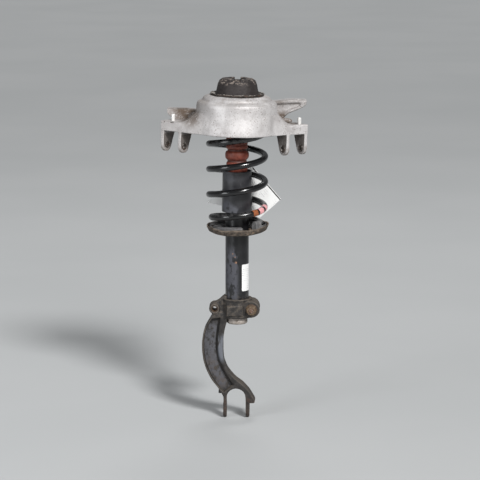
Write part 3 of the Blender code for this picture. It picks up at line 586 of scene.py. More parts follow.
def spring_coating():
    """Glossy black coat, dusty on its upper side near the perch, with three painted bands."""
    f = Finish("spring_coating")
    turn = f.nodes.new("ShaderNodeAttribute")
    turn.attribute_name = "wire_turn"
    ragged = f.sums("MULTIPLY_ADD", f.mottle(5, 4, 0.6), 7, turn.outputs["Fac"])

    def band(start, stop):
        return f.both(f.between(ragged, start + 2.9, start + 4.1),
                      f.between(ragged, stop + 4.1, stop + 2.9))

    specks = f.spots(0.66, 0.72, 1.6, 3, 0.6, seed=3)
    up = f.between(f.normal("Z"), 0.1, 0.9)
    low_dust = f.both(up, f.between(f.axis("Z"), -0.22, -0.27), f.spots(0.42, 0.62, 9, 5, 0.7, seed=6))
    f.base(f.both(specks, 0.35), (0.0055, 0.0055, 0.006), (0.07, 0.065, 0.06))
    top_dust = f.both(f.between(f.axis("Z"), -0.105, -0.088), f.between(f.axis("Y"), 0, -0.03),
                      f.spots(0.42, 0.58, 12, 5, 0.7, seed=12))
    low_dust = f.either(low_dust, f.both(top_dust, 0.6))
    f.cover(low_dust, (0.1, 0.097, 0.098), 0.55)
    orange = band(304, 315.5)
    pink = f.either(band(320.5, 333.5), band(341.5, 354.5))
    stain = f.spots(0.35, 0.7, 3, 4, 0.7, seed=8)
    f.cover(orange, f.mix(stain, (0.3, 0.085, 0.02), (0.2, 0.055, 0.015)))
    f.cover(pink, f.mix(stain, (0.8, 0.4, 0.41), (0.62, 0.27, 0.28)))
    painted = f.either(orange, pink)
    f.bump((f.mottle(14, 3), 0.35), (f.mottle(1.1, 2), 0.02))
    rough = f.blend(f.either(painted, low_dust), f.blend(f.mottle(20, 3, seed=2), 0.13, 0.26), 0.6)
    return f.finish(rough, coat=0.2, coat_roughness=0.08)


def tube_paint():
    """Black paint under a film of gray-blue dust, chipped to rust in a few spots."""
    f = Finish("tube_paint")
    streaks = f.mottle(20, 6, 0.62, (1, 1, 0.45))
    left = f.between(f.axis("X"), 0.007, -0.004)
    lower = f.between(f.axis("Z"), -0.318, -0.352)
    dust = f.both(f.between(streaks, 0.46, 0.5), left, lower)
    low_rim = f.both(f.spots(0.45, 0.6, 7, 5, 0.65, seed=3), f.between(f.axis("Z"), -0.425, -0.45))
    chips = f.both(f.spots(0.56, 0.6, 8, 5, 0.7, (1, 1, 0.5), 6), left)
    f.base(f.spots(0.4, 0.7, 25, 4, seed=2), (0.0055, 0.0055, 0.0065), (0.012, 0.012, 0.014))
    f.cover(dust, (0.066, 0.067, 0.08), 0.9)
    f.cover(chips, (0.01, 0.01, 0.011))
    f.cover(low_rim, (0.08, 0.072, 0.066), 0.7)
    rust = f.either(f.near((-9.5, -24, 372), 2.2, 0.4), f.near((-4.5, -25, 365), 1.6, 0.4),
                    f.near((-2.5, -25.3, 353), 3.2, 0.5))
    rust = f.both(rust, f.spots(0.35, 0.55, 2.5, 4, 0.7, seed=9))
    f.cover(rust, (0.3, 0.16, 0.09), 0.9)
    scratches = f.spots(0.63, 0.67, 3, 5, 0.8, (1, 1, 0.3), 5)
    f.cover(scratches, (0.14, 0.135, 0.13), 0.6)
    f.bump((dust, 0.08), (f.mottle(2, 4, 0.6), 0.06), (chips, 0.08))
    return f.finish(f.blend(f.either(dust, rust), 0.28, 0.72))


def perch_steel():
    """Pressed steel under brown road dirt, with rust breaking through below and its upward faces lightened
    as painted light.
    """
    f = Finish("perch_steel")
    cake = f.mottle(12, 6, 0.68)
    fine = f.mottle(1.8, 5, 0.75, seed=3)
    f.base(f.between(cake, 0.35, 0.65), (0.065, 0.052, 0.042), (0.2, 0.16, 0.125))
    under = f.between(f.normal("Z"), -0.05, -0.5)
    f.cover(f.both(under, f.between(cake, 0.75, 0.35)), (0.03, 0.024, 0.02), 0.85)
    folds = f.mottle(9, 5, 0.6, (1, 1, 5), 6)
    f.cover(f.between(folds, 0.52, 0.44), (0.035, 0.027, 0.022), 0.7)
    rust = f.both(f.spots(0.6, 0.66, 3.2, 4, 0.7, seed=7), under)
    f.cover(rust, (0.3, 0.155, 0.07), 0.85)
    # Upward faces lightened brown: road dirt, brightened as painted light where the pan lies in shadow.
    pan_floor_dirt_and_light = f.both(f.between(f.normal("Z"), 0.5, 0.9), f.between(cake, 0.2, 0.5))
    f.cover(pan_floor_dirt_and_light, (0.33, 0.255, 0.2), 0.8)
    rim = f.both(f.edges(0.52, 0.6), f.between(fine, 0.35, 0.6))
    f.cover(rim, (0.24, 0.195, 0.15), 0.7)
    f.bump((cake, 1.4), (folds, 1.6), (fine, 0.4))
    return f.finish(f.blend(cake, 0.72, 0.95), specular=0.35)


def fork_iron():
    """Black-painted casting: dusty blue-gray web, brown dirt on its ledges, rust at its feet, a painted
    highlight on the inner flange and painted shade in its hollows.
    """
    f = Finish("fork_iron")
    cake = f.mottle(15, 6, 0.65)
    fine = f.mottle(2, 5, 0.75, seed=3)
    f.base(f.between(cake, 0.38, 0.62), (0.016, 0.0145, 0.0135), (0.035, 0.031, 0.028))
    facing = f.between(f.sums("ABSOLUTE", f.normal("Y")), 0.8, 0.95)
    web = f.both(facing, f.between(f.sums("ABSOLUTE", f.axis("Y")), 0.0095, 0.008),
                 f.between(f.axis("Z"), -0.655, -0.635), f.between(f.axis("Z"), -0.49, -0.51))
    web_dust = f.both(web, f.spots(0.6, 0.46, 8, 6, 0.72, (1, 1, 0.7), 6))
    f.cover(web_dust, (0.088, 0.088, 0.098), 0.88)
    brown_low = f.both(web, f.between(f.axis("Z"), -0.56, -0.6), f.spots(0.42, 0.62, 9, 5, 0.7, seed=2))
    f.cover(brown_low, (0.085, 0.066, 0.052), 0.55)
    head = f.both(f.height(224, 236), f.spots(0.47, 0.6, 11, 6, 0.72, seed=8))
    f.cover(head, (0.085, 0.07, 0.056), 0.75)
    ledges = f.both(f.between(f.normal("Z"), 0.3, 0.8), f.between(fine, 0.3, 0.6))
    f.cover(ledges, (0.12, 0.098, 0.078), 0.6)
    # Painted highlight: a pale blue-gray patch on the inner flange's face.
    bright_patch = f.both(f.near((-33, -18, 160), 38, 0.45), f.between(f.axis("X"), -0.045, -0.0405),
                    f.between(f.axis("Y"), -0.009, -0.013),
                    f.spots(0.36, 0.46, 26, 4, 0.6, (1, 1, 0.35), 4))
    f.cover(bright_patch, (0.145, 0.155, 0.18), 0.75)
    feet = f.both(f.between(f.axis("Z"), -0.655, -0.675), f.spots(0.4, 0.6, 6, 5, 0.7, seed=5))
    f.cover(feet, (0.058, 0.036, 0.027), 0.8)
    edge = f.both(f.edges(0.515, 0.57), f.between(fine, 0.36, 0.56))
    f.cover(edge, (0.165, 0.135, 0.108), 0.75)
    # Near-black hollows found by pointiness: painted shade, with grime.
    f.cover(f.edges(0.485, 0.44), (0.01, 0.009, 0.009), 0.75)
    f.bump((cake, 1.6), (fine, 0.45))
    rough = f.blend(f.either(web_dust, ledges), f.blend(cake, 0.42, 0.7), 0.85)
    return f.finish(rough, specular=0.4)


def yellow_zinc():
    """Yellow plating gone brown, with rust in the threads."""
    f = Finish("yellow_zinc")
    patches = f.spots(0.4, 0.62, 4, 5, 0.7)
    fine = f.mottle(0.9, 4, 0.7, seed=3)
    f.base(patches, (0.125, 0.08, 0.045), (0.05, 0.03, 0.021))
    f.cover(f.edges(0.53, 0.62), (0.3, 0.225, 0.145), 0.35)
    f.bump((f.mottle(2.5, 4, 0.7, seed=5), 0.2), (fine, 0.08))
    return f.finish(f.blend(patches, 0.45, 0.8), f.blend(patches, 0.45, 0.1))


def bolt_steel():
    f = Finish("bolt_steel")
    patches = f.spots(0.42, 0.6, 3.5, 5, 0.7)
    f.base(patches, (0.2, 0.12, 0.085), (0.07, 0.036, 0.025))
    chalk = f.spots(0.57, 0.62, 2.2, 4, 0.75, seed=4)
    f.cover(chalk, (0.5, 0.46, 0.42), 0.7)
    f.bump((f.mottle(1.5, 4, 0.7), 0.15))
    return f.finish(f.blend(patches, 0.45, 0.8), 0.4)


def cap_steel():
    """Bare lower end of the damper, dull gray-brown."""
    f = Finish("cap_steel")
    cake = f.mottle(9, 6, 0.65)
    f.base(f.between(cake, 0.35, 0.65), (0.22, 0.19, 0.165), (0.4, 0.355, 0.32))
    stains = f.spots(0.56, 0.64, 5, 5, 0.7, seed=4)
    f.cover(stains, (0.07, 0.048, 0.035), 0.7)
    f.bump((cake, 0.5), (f.mottle(1.2, 4, 0.7), 0.12))
    return f.finish(f.blend(stains, 0.55, 0.8), 0.25)


def plain_paper(name, across, corner, strip=False):
    """White paper, a little grubby, with rows of faint gray dashes and maybe a black border strip.

    The rows are counted in millimetres from a corner, a strut position, in the direction across.
    """
    f = Finish(name)
    grime = f.spots(0.5, 0.75, 14, 5, 0.65)
    f.base(f.both(grime, 0.3), (0.78, 0.78, 0.77), (0.55, 0.53, 0.5))
    direction = Vector(across).normalized()
    along = f.node("VectorMath", enumerate((f.place, direction)), operation="DOT_PRODUCT")["Value"]
    start = (STRUT @ Vector(corner)).dot(direction)
    inside = f.sums("MULTIPLY", f.sums("SUBTRACT", along, start), 1 / MM)
    if strip:
        border = f.both(f.between(inside, 1, 1.3), f.between(inside, 3.9, 3.6))
        f.cover(border, (0.012, 0.012, 0.012))
    rows = f.between(f.sums("FRACT", f.sums("DIVIDE", inside, 4.2)), 0.72, 0.8)
    dashes = f.spots(0.5, 0.54, 2.6, 3, 0.7, seed=4)
    blocks = f.spots(0.46, 0.5, 19, 1, 0.5, seed=6)
    field = f.both(f.between(inside, 8, 8.5), f.between(inside, 58, 57))
    f.cover(f.both(rows, dashes, blocks, field), (0.2, 0.2, 0.21), 0.7)
    f.bump((f.mottle(20, 3), 0.3), (f.mottle(0.8, 2), 0.02))
    return f.finish(0.62)


def backdrop_paint():
    f = Finish("floor_paint")
    clouds = f.mottle(900, 3, 0.5)
    f.base(f.between(clouds, 0.3, 0.7), (0.475, 0.487, 0.49), (0.5, 0.51, 0.513))
    return f.finish(0.75)


# ---- bearing bracket

def build_bracket(casting):
    """The casting with its edges and inner corners rounded and its dome made truly round."""
    boss = (106, 14, 27)
    pad_root = (-84, 47, 24)
    shape = weld([node_shape("bearing_bracket", BRACKET), ball(boss, (15, 11, 6.5)),
                  ball(pad_root, (15, 12, 9))])
    piece = add_object("bracket_casting", shape, BRACKET, None, "bearing_bracket", casting)
    remeshed(piece, 1.25, 3)
    points = points_in(piece.data, BRACKET)
    radius = np.hypot(points[:, 0], points[:, 1])
    angle = np.degrees(np.arctan2(points[:, 1], points[:, 0]))
    make_round(points, DOME_FACETS, (radius > 60) & (radius < 96))
    raise_arm_roots(points, radius, angle)
    set_points_in(piece.data, BRACKET, points)
    x, y, height = points.T
    dome_foot = window(radius, 80, 88, 112, 128) * window(height, 2, 10, 46, 56)
    dome_foot *= smoothstep(15, 24, np.linalg.norm(points - np.array(boss), axis=1))
    soften_where(piece, dome_foot, 70)
    channel = smoothstep(78, 84, x) * window(height, 27, 31, 62, 66)
    soften_where(piece, channel * window(y, 38, 44, 58, 62), 30)
    shoulder = window(radius, 66, 72, 90, 92) * smoothstep(55, 62, height)
    soften_where(piece, shoulder, 14)
    roughen(piece, 22, 0.45, 3)
    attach(piece, "mount")


def raise_arm_roots(points, radius, angle):
    """Sweeps the top of each arm up into the dome, in a hollow curve."""
    dome_edge = 88
    run = 36
    rise = 24
    around = np.mod(angle, 360)
    left = window(around, 160, 172, 214, 232)
    right = smoothstep(300, 318, around) + (1 - smoothstep(14, 26, around))
    share = np.clip(left + np.clip(right, 0, 1) * (left <= 0), 0, 1)
    across = np.clip((radius - dome_edge) / run, 0, 1)
    lifted = np.maximum(points[:, 2], ARM_TOP + rise * (1 - across) ** 2)
    chosen = (radius > 84) & (points[:, 2] > ARM_TOP - 2.5) & (points[:, 2] < ARM_TOP + rise + 2)
    points[:, 2] += np.where(chosen, (lifted - points[:, 2]) * share, 0)


def build_pins(steel):
    top = ARM_TOP + 14.5
    bottom = 13.5
    for side, x, y in (("left", -137, 14), ("right", 136, 10)):
        shape = turned([(0, top), (3.2, top), (4.2, top - 1.4), (4.2, bottom), (0, bottom)], 0.5, 48)
        add_object(f"pin_{side}", moved(shape, x, y), BRACKET, "mount", f"locating_pin_{side}", steel)


def build_bushes(steel):
    """The lugs' bushes, read from where the CAD ones stand, with rounded ends."""
    for side in ("left", "right"):
        for place in ("outer", "inner"):
            node = f"clevis_bush_{side}_{place}"
            source = frame["nodes"][node].data
            middle = sum((vertex.co for vertex in source.vertices), Vector()) / len(source.vertices)
            along = end_normal(source)
            half = max(abs((vertex.co - middle).dot(along)) for vertex in source.vertices) / MM
            shape = turned([(7.5, half), (7.5, -half), (5.2, -half), (5.2, half)], 0.7, 64)
            turn = Vector((0, 0, 1)).rotation_difference(along).to_matrix().to_4x4()
            where = Matrix.Translation(middle) @ turn @ Matrix.Scale(MM, 4)
            add_object(f"bush_{side}_{place}", shape, where, "mount", node, steel)


def end_normal(mesh):
    """The direction a short ring's flat ends face."""
    area = {}
    normals = {}
    for face in mesh.polygons:
        key = tuple(round(abs(value), 2) for value in face.normal)
        area[key] = area.get(key, 0) + face.area
        normals.setdefault(key, face.normal.copy())
    return normals[max(area, key=area.get)]


# ---- top bearing

def build_bearing(steel, rubber, bright):
    """The ring with its bent flange, the chipped rubber dome, and the rod's washer and nut."""
    seat = DOME_HEIGHT + GAP
    shape = turned([(58, seat + 5), (58, seat + 0.5), (51.7, seat + 0.5), (51.7, 44), (48.9, 44),
                    (48.9, seat + 2.6), (54.4, seat + 2.8), (56.4, seat + 5)], 0.9, 192)
    for vertex in shape.verts:
        radius = math.hypot(vertex.co.x, vertex.co.y)
        angle = math.atan2(vertex.co.y, vertex.co.x)
        share = max(0, (radius - 53) / 5)
        wave = 0.7 * math.sin(9 * angle + 1) + 0.5 * math.sin(23 * angle) + 0.3 * math.sin(41 * angle)
        swell = 1 + 0.006 * share * math.sin(13 * angle + 2)
        vertex.co = (vertex.co.x * swell, vertex.co.y * swell, vertex.co.z + 0.7 * wave * share)
    add_object("bearing_flange", shape, BRACKET, "mount", "bearing_ring", steel)

    shape = node_shape("bearing_rubber", BRACKET)
    dome = add_object("rubber_dome", shape, BRACKET, None, "bearing_rubber", rubber)
    remeshed(dome, 0.8, 3)
    points = points_in(dome.data, BRACKET)
    make_round(points, RUBBER_FACETS, np.hypot(points[:, 0], points[:, 1]) > 26)
    top = RUBBER_TOP - BRACKET_BASE
    for point in points:
        rise = smoothstep(top - 9, top - 2, point[2])
        x, y = point[:2]
        chip = noise.noise(Vector((x, y, 0)) / 6) + 0.6 * noise.noise(Vector((x, y, 5)) / 2.6)
        point[2] -= rise * max(0, chip) * 2.6
    set_points_in(dome.data, BRACKET, points)
    roughen(dome, 9, 0.5, 1)
    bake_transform(dome)
    share = 1 - smoothstep(15, 43, np.hypot(points[:, 0], points[:, 1]))

    low, high = WASHER_BOTTOM, WASHER_BOTTOM + 2.5
    washer = turned([(15.5, high), (15.5, low), (6.3, low), (6.3, high)], 0.4, 64)
    nut = hexagon_nut(11, high + GAP, high + GAP + 10.5, 6.3)
    add_object("rod_nut_cut", nut, STRUT, "rod", "rod_nut", bright)
    add_object("washer", washer, STRUT, "rod", "top_washer", bright)


def hexagon_nut(reach, low, high, bore):
    """A nut round Z with chamfered corners: a lathe shape cut back to six flats."""
    across = reach * math.cos(math.radians(30))
    chamfer = reach - across
    profile = [(reach, low + chamfer * 0.6), (reach, high - chamfer * 0.6), (across + 0.1, high),
               (bore, high), (bore, low), (across + 0.1, low)]
    shape = lathe(profile, 96)
    for side in range(6):
        angle = math.radians(60 * side + 30)
        flat = Vector((math.cos(angle), math.sin(angle), 0))
        cut = bmesh.ops.bisect_plane(shape, geom=shape.verts[:] + shape.edges[:] + shape.faces[:],
                                     plane_co=flat * across, plane_no=flat, clear_outer=True)
        rim = [item for item in cut["geom_cut"] if isinstance(item, bmesh.types.BMEdge)]
        bmesh.ops.edgeloop_fill(shape, edges=[edge for edge in rim if edge.is_boundary])
    return shape


def thread(radius, low, high, pitch, end_bevel=1.2):
    """A bolt end along Z whose thread is cut as a stack of grooves."""
    points = [(0, low)]
    height = low
    while height < high - end_bevel - pitch:
        points += [(radius, height), (radius, height + pitch * 0.2),
                   (radius - pitch * 0.5, height + pitch * 0.6)]
        height += pitch
    points += [(radius, height), (radius, high - end_bevel), (radius - end_bevel, high), (0, high)]
    return lathe(points, 48)


def build_rod(steel, bright):
    """The rod, in one with its threaded end, and the cup that holds the bump stop."""
    rod = [(0, 743), (5, 743), (6, 742), (6, STOP_TOP), (7, STOP_TOP), (7, 446), (4, 446), (4, 420),
           (0, 420)]
    add_object("rod", turned(rod, 0.4, 64), STRUT, "rod", "piston_rod", bright)
    low = STOP_TOP + GAP
    cup = [(26, low + 1), (26, low - 9), (24.6, low - 9), (24.6, low), (6.3, low), (6.3, low + 2.5),
           (24.5, low + 2.5)]
    add_object("stop_cup", turned(cup, 0.6, 80), STRUT, "rod", "bump_stop_cup", steel)


# ---- spring and its seats

WIRE_RADIUS = 7
COIL_RADIUS = 60.5
SPRING_START = -24
FULL_FROM = 400
FULL_TO = 1330
SPRING_END = 1700
SPRING_LOW = 433.6
PITCHES = (20, 55.4, 12)
RADII = (50, COIL_RADIUS, 57)


def ramp(angle, first, full, last):
    """A value that grows from first to full, stays there, and ends at last."""
    if angle < FULL_FROM:
        return first + (full - first) * (angle - SPRING_START) / (FULL_FROM - SPRING_START)
    if angle > FULL_TO:
        return full + (last - full) * (angle - FULL_TO) / (SPRING_END - FULL_TO)
    return full


def build_spring(coating, step=3, sides=28):
    """The wire, swept along a coil that narrows and flattens toward both ends."""
    shape = bmesh.new()
    height = SPRING_LOW
    rings = []
    turns = []
    count = round((SPRING_END - SPRING_START) / step)
    for index in range(count + 1):
        angle = SPRING_START + index * step
        pitch = ramp(angle, *PITCHES)
        radius = ramp(angle, *RADII)
        slope = math.atan(pitch / (math.tau * radius))
        a = math.radians(angle)
        end = min(index, count - index)
        wire = WIRE_RADIUS * (0.8 if end == 0 else 0.95 if end == 1 else 1)
        ring = []
        for side in range(sides):
            turn = math.tau * side / sides
            out = radius + wire * math.cos(turn)
            lean = -wire * math.sin(turn) * math.sin(slope)
            up = wire * math.sin(turn) * math.cos(slope)
            ring.append(shape.verts.new((out * math.cos(a) - lean * math.sin(a),
                                         out * math.sin(a) + lean * math.cos(a), height + up)))
            turns.append(angle)
        rings.append(ring)
        height += ramp(angle + step / 2, *PITCHES) * step / 360
    for ring, after in zip(rings, rings[1:]):
        for side in range(sides):
            beside = (side + 1) % sides
            shape.faces.new((ring[side], ring[beside], after[beside], after[side]))
    shape.faces.new(rings[0])
    shape.faces.new(rings[-1])
    spring = add_object("spring_wire", shape, STRUT, None, "coil_spring", coating, 60)
    painted = spring.data.attributes.new("wire_turn", "FLOAT", "POINT")
    painted.data.foreach_set("value", np.array(turns, np.float32))
    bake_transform(spring)


def build_perch(steel, rubber):
    """The pan with its buckled rim, and the rubber pad with a stop for the wire's end."""
    lip = 435.5 - PERCH_FLOOR
    pan = [(67.9, lip), (68, lip - 3), (63.7, 7), (56, 2), (48, 0.2), (32, -0.4), (29.5, -1.6),
           (26.3, -1.6), (26.3, 3.6), (30, 2.5), (47.5, 2.5), (55, 4.6), (62, 9.8), (65.4, lip - 1.5)]
    shape = lathe(rounded(pan, 1.6, 4), 180)
    for vertex in shape.verts:
        x, y, z = vertex.co
        radius = math.hypot(x, y)
        angle = math.atan2(y, x)
        share = max(0, (radius - 50) / 18)
        dent = noise.noise(Vector((x, y, 0)) / 18) + 0.4 * math.sin(7 * angle + 0.6)
        front = smoothstep(0.35, 1, -math.sin(angle))
        if z > 2.2 and radius < 62.5:
            vertex.co.z += 7.5 * front * smoothstep(36, 50, radius)
        vertex.co.z += (dent - 0.6) * share * 1.5 - 4.5 * front * share
        pull = 1 - 0.003 * share * (1 + math.sin(5 * angle + 2))
        vertex.co.x *= pull
        vertex.co.y *= pull
    add_object("perch_pan", moved(shape, PERCH_SHIFT), PERCH, "damper", "spring_perch", steel)

    section = [(60.6, 19.2), (61.6, 19.2), (61.6, 11.4), (55, 6), (47, 3.3), (38.2, 3.3), (38.2, 8.2),
               (43, 7.8), (54, 7.8), (60.2, 13)]
    ring = turned(section, 0.8, 120, -32, 313)
    stop = turned([(60.5, 10.2), (60.5, 24), (57.5, 28.5), (50, 29), (45.5, 24), (44.2, 10.2)], 2.2, 12,
                  -48, 16.5)
    foot = turned([(60.5, 11), (55, 6.4), (47, 4), (44.5, 4), (44.5, 14), (60.5, 14)], 0.8, 12, -48, 17)
    shape = moved(weld([ring, stop, foot]), PERCH_SHIFT)
    for vertex in shape.verts:
        around = math.degrees(math.atan2(vertex.co.y, vertex.co.x)) % 360
        if around < 285 and 6.5 < vertex.co.z:
            top = max(vertex.co.z, 8 + 9.5 * smoothstep(70, 250, around))
            outer_share = smoothstep(56, 60, math.hypot(vertex.co.x, vertex.co.y))
            vertex.co.z = top - 3.5 * outer_share * smoothstep(180, 230, around)
    pad = add_object("perch_pad", shape, PERCH, None, "lower_spring_pad", rubber)
    remeshed(pad, 0.9, 3)
    roughen(pad, 10, 0.5, 5)
    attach(pad, "damper")


def build_upper_seat(steel, rubber):
    plate = 35.5
    seat = [(75, plate + 2.5), (75, plate - 5), (73.2, plate - 5), (73.2, plate), (48, plate),
            (48, plate + 2.5), (52.3, plate + 2.5), (52.3, plate + 18), (54.3, plate + 18),
            (56.3, plate + 2.5)]
    add_object("seat_plate", turned(seat, 0.7), BRACKET, "mount", "upper_spring_seat", steel)
    pad = [(72.6, plate - GAP), (72.6, plate - 1.9), (68, plate - 2.6), (50, plate - 2.6),
           (49, plate - GAP)]
    add_object("seat_pad", turned(pad, 0.9), BRACKET, "mount", "upper_spring_pad", rubber)


# ---- damper

def build_tube(paint, steel, base):
    """The tube, the cap closing its lower end and the skirt of the one on top."""
    tube = [(TUBE_RADIUS, TUBE_TOP), (TUBE_RADIUS, TUBE_BOTTOM), (23.5, TUBE_BOTTOM), (23.5, TUBE_TOP)]
    add_object("tube", turned(tube, 0.6, 128), STRUT, "damper", "damper_tube", paint)
    low = TUBE_BOTTOM - GAP
    cap = [(0, 238), (23.2, 238), (23.2, low), (22.8, low), (22.8, 224.5), (22.2, 223.6), (22.2, 222.4),
           (22.8, 221.5), (22.8, 216.6), (21, 214), (0, 214)]
    add_object("tube_base", turned(cap, 0.9, 128), STRUT, "damper", "base_cap", base)
    skirt = [(26.6, 494.8), (27.4, 494), (27.4, 482), (28.6, 481), (28.6, 479), (25.8, 479), (25.8, 492.3),
             (9, 492.3), (9, 494.8)]
    add_object("cap_skirt", turned(skirt, 0.5), STRUT, "damper", "tube_cap", steel)


def build_dust_tube(plastic):
    wall = [(31.4, 552), (32, 550.5), (31.5, 546.5), (33.3, 463), (31.5, 463), (30.4, 495.3), (24, 495.3),
            (24, 498), (30.2, 498), (29.6, 552)]
    add_object("dust_sleeve", turned(wall, 0.7, 128), STRUT, "damper", "dust_tube", plastic)


def build_bump_stop(foam):
    profile = [(22, STOP_TOP), (22.5, 660), (23.6, 640), (23.6, 611), (22.4, 609), (23.5, 607),
               (23.5, 601.5), (20.6, 598.5), (20.6, 596), (24.4, 593), (25.8, 589), (25.8, 583),
               (24.4, 578.5), (20.6, 575.5), (20.6, 572.5), (23.4, 569), (23.2, 556), (20.5, 545),
               (16, 538), (12, 535), (7.6, 535), (7.6, STOP_TOP)]
    shape = lathe(rounded(profile, 1.8, 5), 112)
    foam_piece = add_object("bump_foam_stop", shape, STRUT, None, "bump_stop", foam, 70)
    roughen(foam_piece, 8, 0.35, 2)
    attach(foam_piece, "rod")
    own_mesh(foam_piece)


def flat_sheet(outline, spacing):
    """A flat outline in X and Z, cut into small faces so that it can be bent."""
    shape = bmesh.new()
    corners = [shape.verts.new((x, 0, z)) for x, z in outline]
    face = shape.faces.new(corners)
    face.normal_update()
    bmesh.ops.triangulate(shape, faces=[face])
    for axis, values in ((Vector((1, 0, 0)), [x for x, _ in outline]),
                         (Vector((0, 0, 1)), [z for _, z in outline])):
        place = min(values) + spacing / 2
        while place < max(values):
            geometry = shape.verts[:] + shape.edges[:] + shape.faces[:]
            bmesh.ops.bisect_plane(shape, geom=geometry, plane_co=axis * place, plane_no=axis)
            place += spacing
    return shape


def thicken(shape, thickness):
    """Gives a flat sheet in X and Z its thickness along Y."""
    bmesh.ops.remove_doubles(shape, verts=shape.verts, dist=0.02)
    made = bmesh.ops.extrude_face_region(shape, geom=shape.faces[:])
    back = [item for item in made["geom"] if isinstance(item, bmesh.types.BMVert)]
    bmesh.ops.translate(shape, verts=back, vec=(0, thickness, 0))
    return shape


def arc(centre, radius, start, stop, steps=6):
    """Points on an arc, its angles in degrees."""
    angles = [math.radians(start + (stop - start) * step / steps) for step in range(steps + 1)]
    return [(centre[0] + radius * math.cos(a), centre[1] + radius * math.sin(a)) for a in angles]


def build_label(paper):
    """A sticker wrapped on the tube, its left corners rounded."""
    radius = TUBE_RADIUS + 0.12
    left = math.radians(-66) * radius
    right = math.radians(-8) * radius
    outline = (arc((left + 3, 292), 3, 180, 270) + [(right, 289), (right, 348)]
               + arc((left + 2, 346), 2, 90, 180))
    shape = thicken(flat_sheet(outline, 2), 0.22)
    for vertex in shape.verts:
        x, y, z = vertex.co
        angle = x / radius
        lift = 0.3 * smoothstep(343, 348, z) * smoothstep(left + 5, left, x)
        out = radius + abs(y) + lift
        vertex.co = (out * math.cos(angle), out * math.sin(angle), z)
    add_object("sticker", shape, STRUT, "damper", "tube_label", paper, 60)


def build_tag(paper):
    """A card that stands askew behind the coil, a little curled."""
    outline = [(97, 477), (37, 548), (21, 548), (-66.5, 470), (-30, 462), (3, 395)]
    shape = thicken(flat_sheet(outline, 4), 0.35)
    for vertex in shape.verts:
        x, _, z = vertex.co
        curl = 4 * smoothstep(55, 97, x) ** 2 + 3 * smoothstep(-35, -66.5, x)
        wave = 0.6 * math.sin(x / 17 + z / 23)
        vertex.co.y += 69.2 + curl + wave
    add_object("card", shape, STRUT, "damper", "shipping_tag", paper, 60)


# ---- fork

def build_fork(casting):
    """The casting with its edges rounded, a cast nub on the arm and a lip round the clamp."""
    shape = node_shape("damper_fork", FORK)
    nub = block((-40.5, -9, 56.5), (-33, 9, 64.5))
    lip = lathe([(33.4, 271), (33.4, 267.5), (27, 267.5), (27, 271)], 64, 8, 344)
    piece = add_object("fork_casting", weld([shape, nub, lip]), FORK, None, "damper_fork", casting)
    remeshed(piece, 1.1, 3)
    x, y, z = points_in(piece.data, FORK).T
    web = window(z, 95, 115, 215, 232) * (np.abs(y) < 19) * smoothstep(-70, -66, x)
    soften_where(piece, web, 8)
    shoulder = window(z, 226, 236, 264, 270) * window(x, -38, -34, -24, -20)
    soften_where(piece, shoulder, 25)
    roughen(piece, 16, 0.5, 7)
    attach(piece, "damper")


def build_pinch(nut_metal, bolt_metal):
    """The flanged nut and the bolt that close the clamp."""
    face = EAR_HALF_WIDTH + GAP
    x, z = EAR_CENTRE
    flange = turned([(12.5, -face), (12.5, -face - 1.6), (10.4, -face - 3), (5.6, -face - 3), (5.6, -face)],
                    0.5, 80)
    hexagon = rotated(hexagon_nut(10.6, -face - 11.5, -face - 2.6, 5.6), 10)
    add_object("clamp_nut", aimed(weld([flange, hexagon]), x, z), FORK, "damper", "pinch_nut", nut_metal)
    # The thread is made along +Z and mirrored, to stand out on the nut's side.
    end = thread(5.3, face - 1, face + 15, 1.5)
    bmesh.ops.scale(end, vec=(1, 1, -1), verts=end.verts)
    shank = lathe([(0, face), (5.2, face), (5.2, -face), (0, -face)], 32)
    head = hexagon_nut(8.6, face + 2, face + 8, 0.5)
    collar = turned([(0, face + 3), (9.5, face + 3), (11.5, face + 1.6), (11.5, face), (0, face)], 0.5, 64)
    bolt = aimed(weld([end, shank, head, collar]), x, z)
    add_object("clamp_bolt", bolt, FORK, "damper", "pinch_bolt", bolt_metal)


def build_link_bush(zinc):
    half = LINK_HALF_LENGTH + 1
    ring = turned([(7, half), (7, -half), (5.6, -half), (5.6, half)], 0.5, 64)
    add_object("link_sleeve", aimed(ring, *LINK_BOSS), FORK, "damper", "link_bush", zinc)


# ---- hidden nodes, floor, light, camera

def dress_hidden_nodes(materials):
    """The pieces inside keep their CAD meshes and get the same finishes."""
    for node, thing in frame["nodes"].items():
        if not thing.hide_render:
            thing.data.materials.clear()
            thing.data.materials.append(materials[SLOTS[node]])


def build_floor(paint):
    shape = bmesh.new()
    bmesh.ops.create_grid(shape, x_segments=8, y_segments=8, size=30)
    mesh = mesh_of("floor", shape)
    mesh.materials.append(paint)
    floor = placed("floor", mesh)
    floor.location.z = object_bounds()[0][2]
    floor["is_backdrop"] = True


def add_light(name, place, size, watts, colour=(1, 1, 1)):
    """A rectangular soft light that points at the middle of the strut."""
    lamp = bpy.data.lights.new(name, "AREA")
    lamp.shape = "RECTANGLE"
    lamp.size, lamp.size_y = size
    lamp.energy = watts
    lamp.color = colour
    thing = placed(name, lamp)
    thing.location = place
    thing.rotation_euler = (STRUT_MIDDLE - Vector(place)).to_track_quat("-Z", "Y").to_euler()


def add_sun(name, direction, strength, spread):
    """A distant light, which covers the floor evenly; its spread in degrees softens the shadows."""
    lamp = bpy.data.lights.new(name, "SUN")
    lamp.energy = strength
    lamp.angle = math.radians(spread)
    placed(name, lamp).rotation_euler = Vector(direction).to_track_quat("-Z", "Y").to_euler()


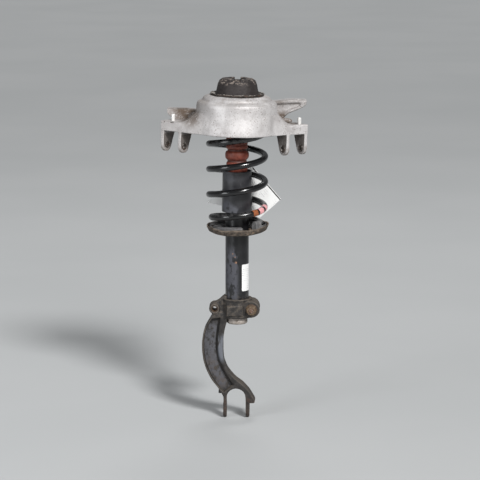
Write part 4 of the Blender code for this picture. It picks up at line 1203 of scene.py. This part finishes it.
def light_scene():
    """A soft key from the front right, with weaker lights from both sides and from behind."""
    add_sun("key", direction=(-0.42, 0.8, -0.66), strength=3, spread=12)
    add_light("side", place=(0.9, -2.6, 1.2), size=(0.7, 0.9), watts=22, colour=(1, 0.985, 0.965))
    add_light("fill", place=(-2.4, -2, 0.5), size=(1.2, 1.6), watts=36, colour=(0.95, 0.975, 1))
    add_light("back", place=(0.3, 2.2, 2.4), size=(1.6, 1.2), watts=22)
    world = bpy.data.worlds.new("studio")
    world.use_nodes = True
    background = world.node_tree.nodes["Background"]
    background.inputs["Color"].default_value = (0.88, 0.9, 0.92, 1)
    background.inputs["Strength"].default_value = 0.2
    bpy.context.scene.world = world


def set_camera():
    """A long lens from the front, a little above."""
    elevation = math.radians(10.3)
    distance = 4.5
    aim_height = 398.5
    aim = Vector((0.00632, 0, (aim_height - ORIGIN_HEIGHT) * MM))
    camera = bpy.data.cameras.new("camera")
    camera.lens = 154.8
    camera.sensor_width = 36
    camera.clip_end = 200
    thing = placed("camera", camera)
    thing.location = aim + distance * Vector((0, -math.cos(elevation), math.sin(elevation)))
    thing.rotation_euler = (math.radians(90) - elevation, 0, 0)
    bpy.context.scene.camera = thing
    bpy.context.scene.view_settings.view_transform = "Standard"


def build_all():
    materials = {
        "cast_aluminium": cast_aluminium(), "bright_steel": bright_steel(), "dark_steel": rusty_steel(),
        "black_rubber": black_rubber(), "gray_rubber": gray_rubber(), "spring_coating": spring_coating(),
        "tube_paint": tube_paint(), "bump_foam": bump_foam(), "dark_plastic": dust_tube_plastic(),
        "perch_steel": perch_steel(), "fork_iron": fork_iron(), "yellow_zinc": yellow_zinc(),
        "white_paper": plain_paper("white_paper", (0, 0, 1), (0, 0, 283)),
    }
    build_bracket(materials["cast_aluminium"])
    build_pins(pin_steel())
    build_bushes(rusty_steel("bush_steel", (0.1, 0.085, 0.075), (0.62, 0.58, 0.54)))
    build_bearing(materials["dark_steel"], materials["black_rubber"], materials["bright_steel"])
    build_rod(materials["dark_steel"], materials["bright_steel"])
    build_spring(materials["spring_coating"])
    build_perch(materials["perch_steel"], materials["gray_rubber"])
    build_upper_seat(materials["dark_steel"], materials["gray_rubber"])
    build_tube(materials["tube_paint"], materials["dark_steel"], cap_steel())
    build_dust_tube(materials["dark_plastic"])
    build_bump_stop(materials["bump_foam"])
    build_label(materials["white_paper"])
    build_tag(plain_paper("card_paper", (-71, 0, -60), (97, 69, 477), True))
    build_fork(materials["fork_iron"])
    build_pinch(materials["yellow_zinc"], bolt_steel())
    build_link_bush(materials["yellow_zinc"])
    dress_hidden_nodes(materials)
    build_floor(backdrop_paint())


build_all()
light_scene()
set_camera()
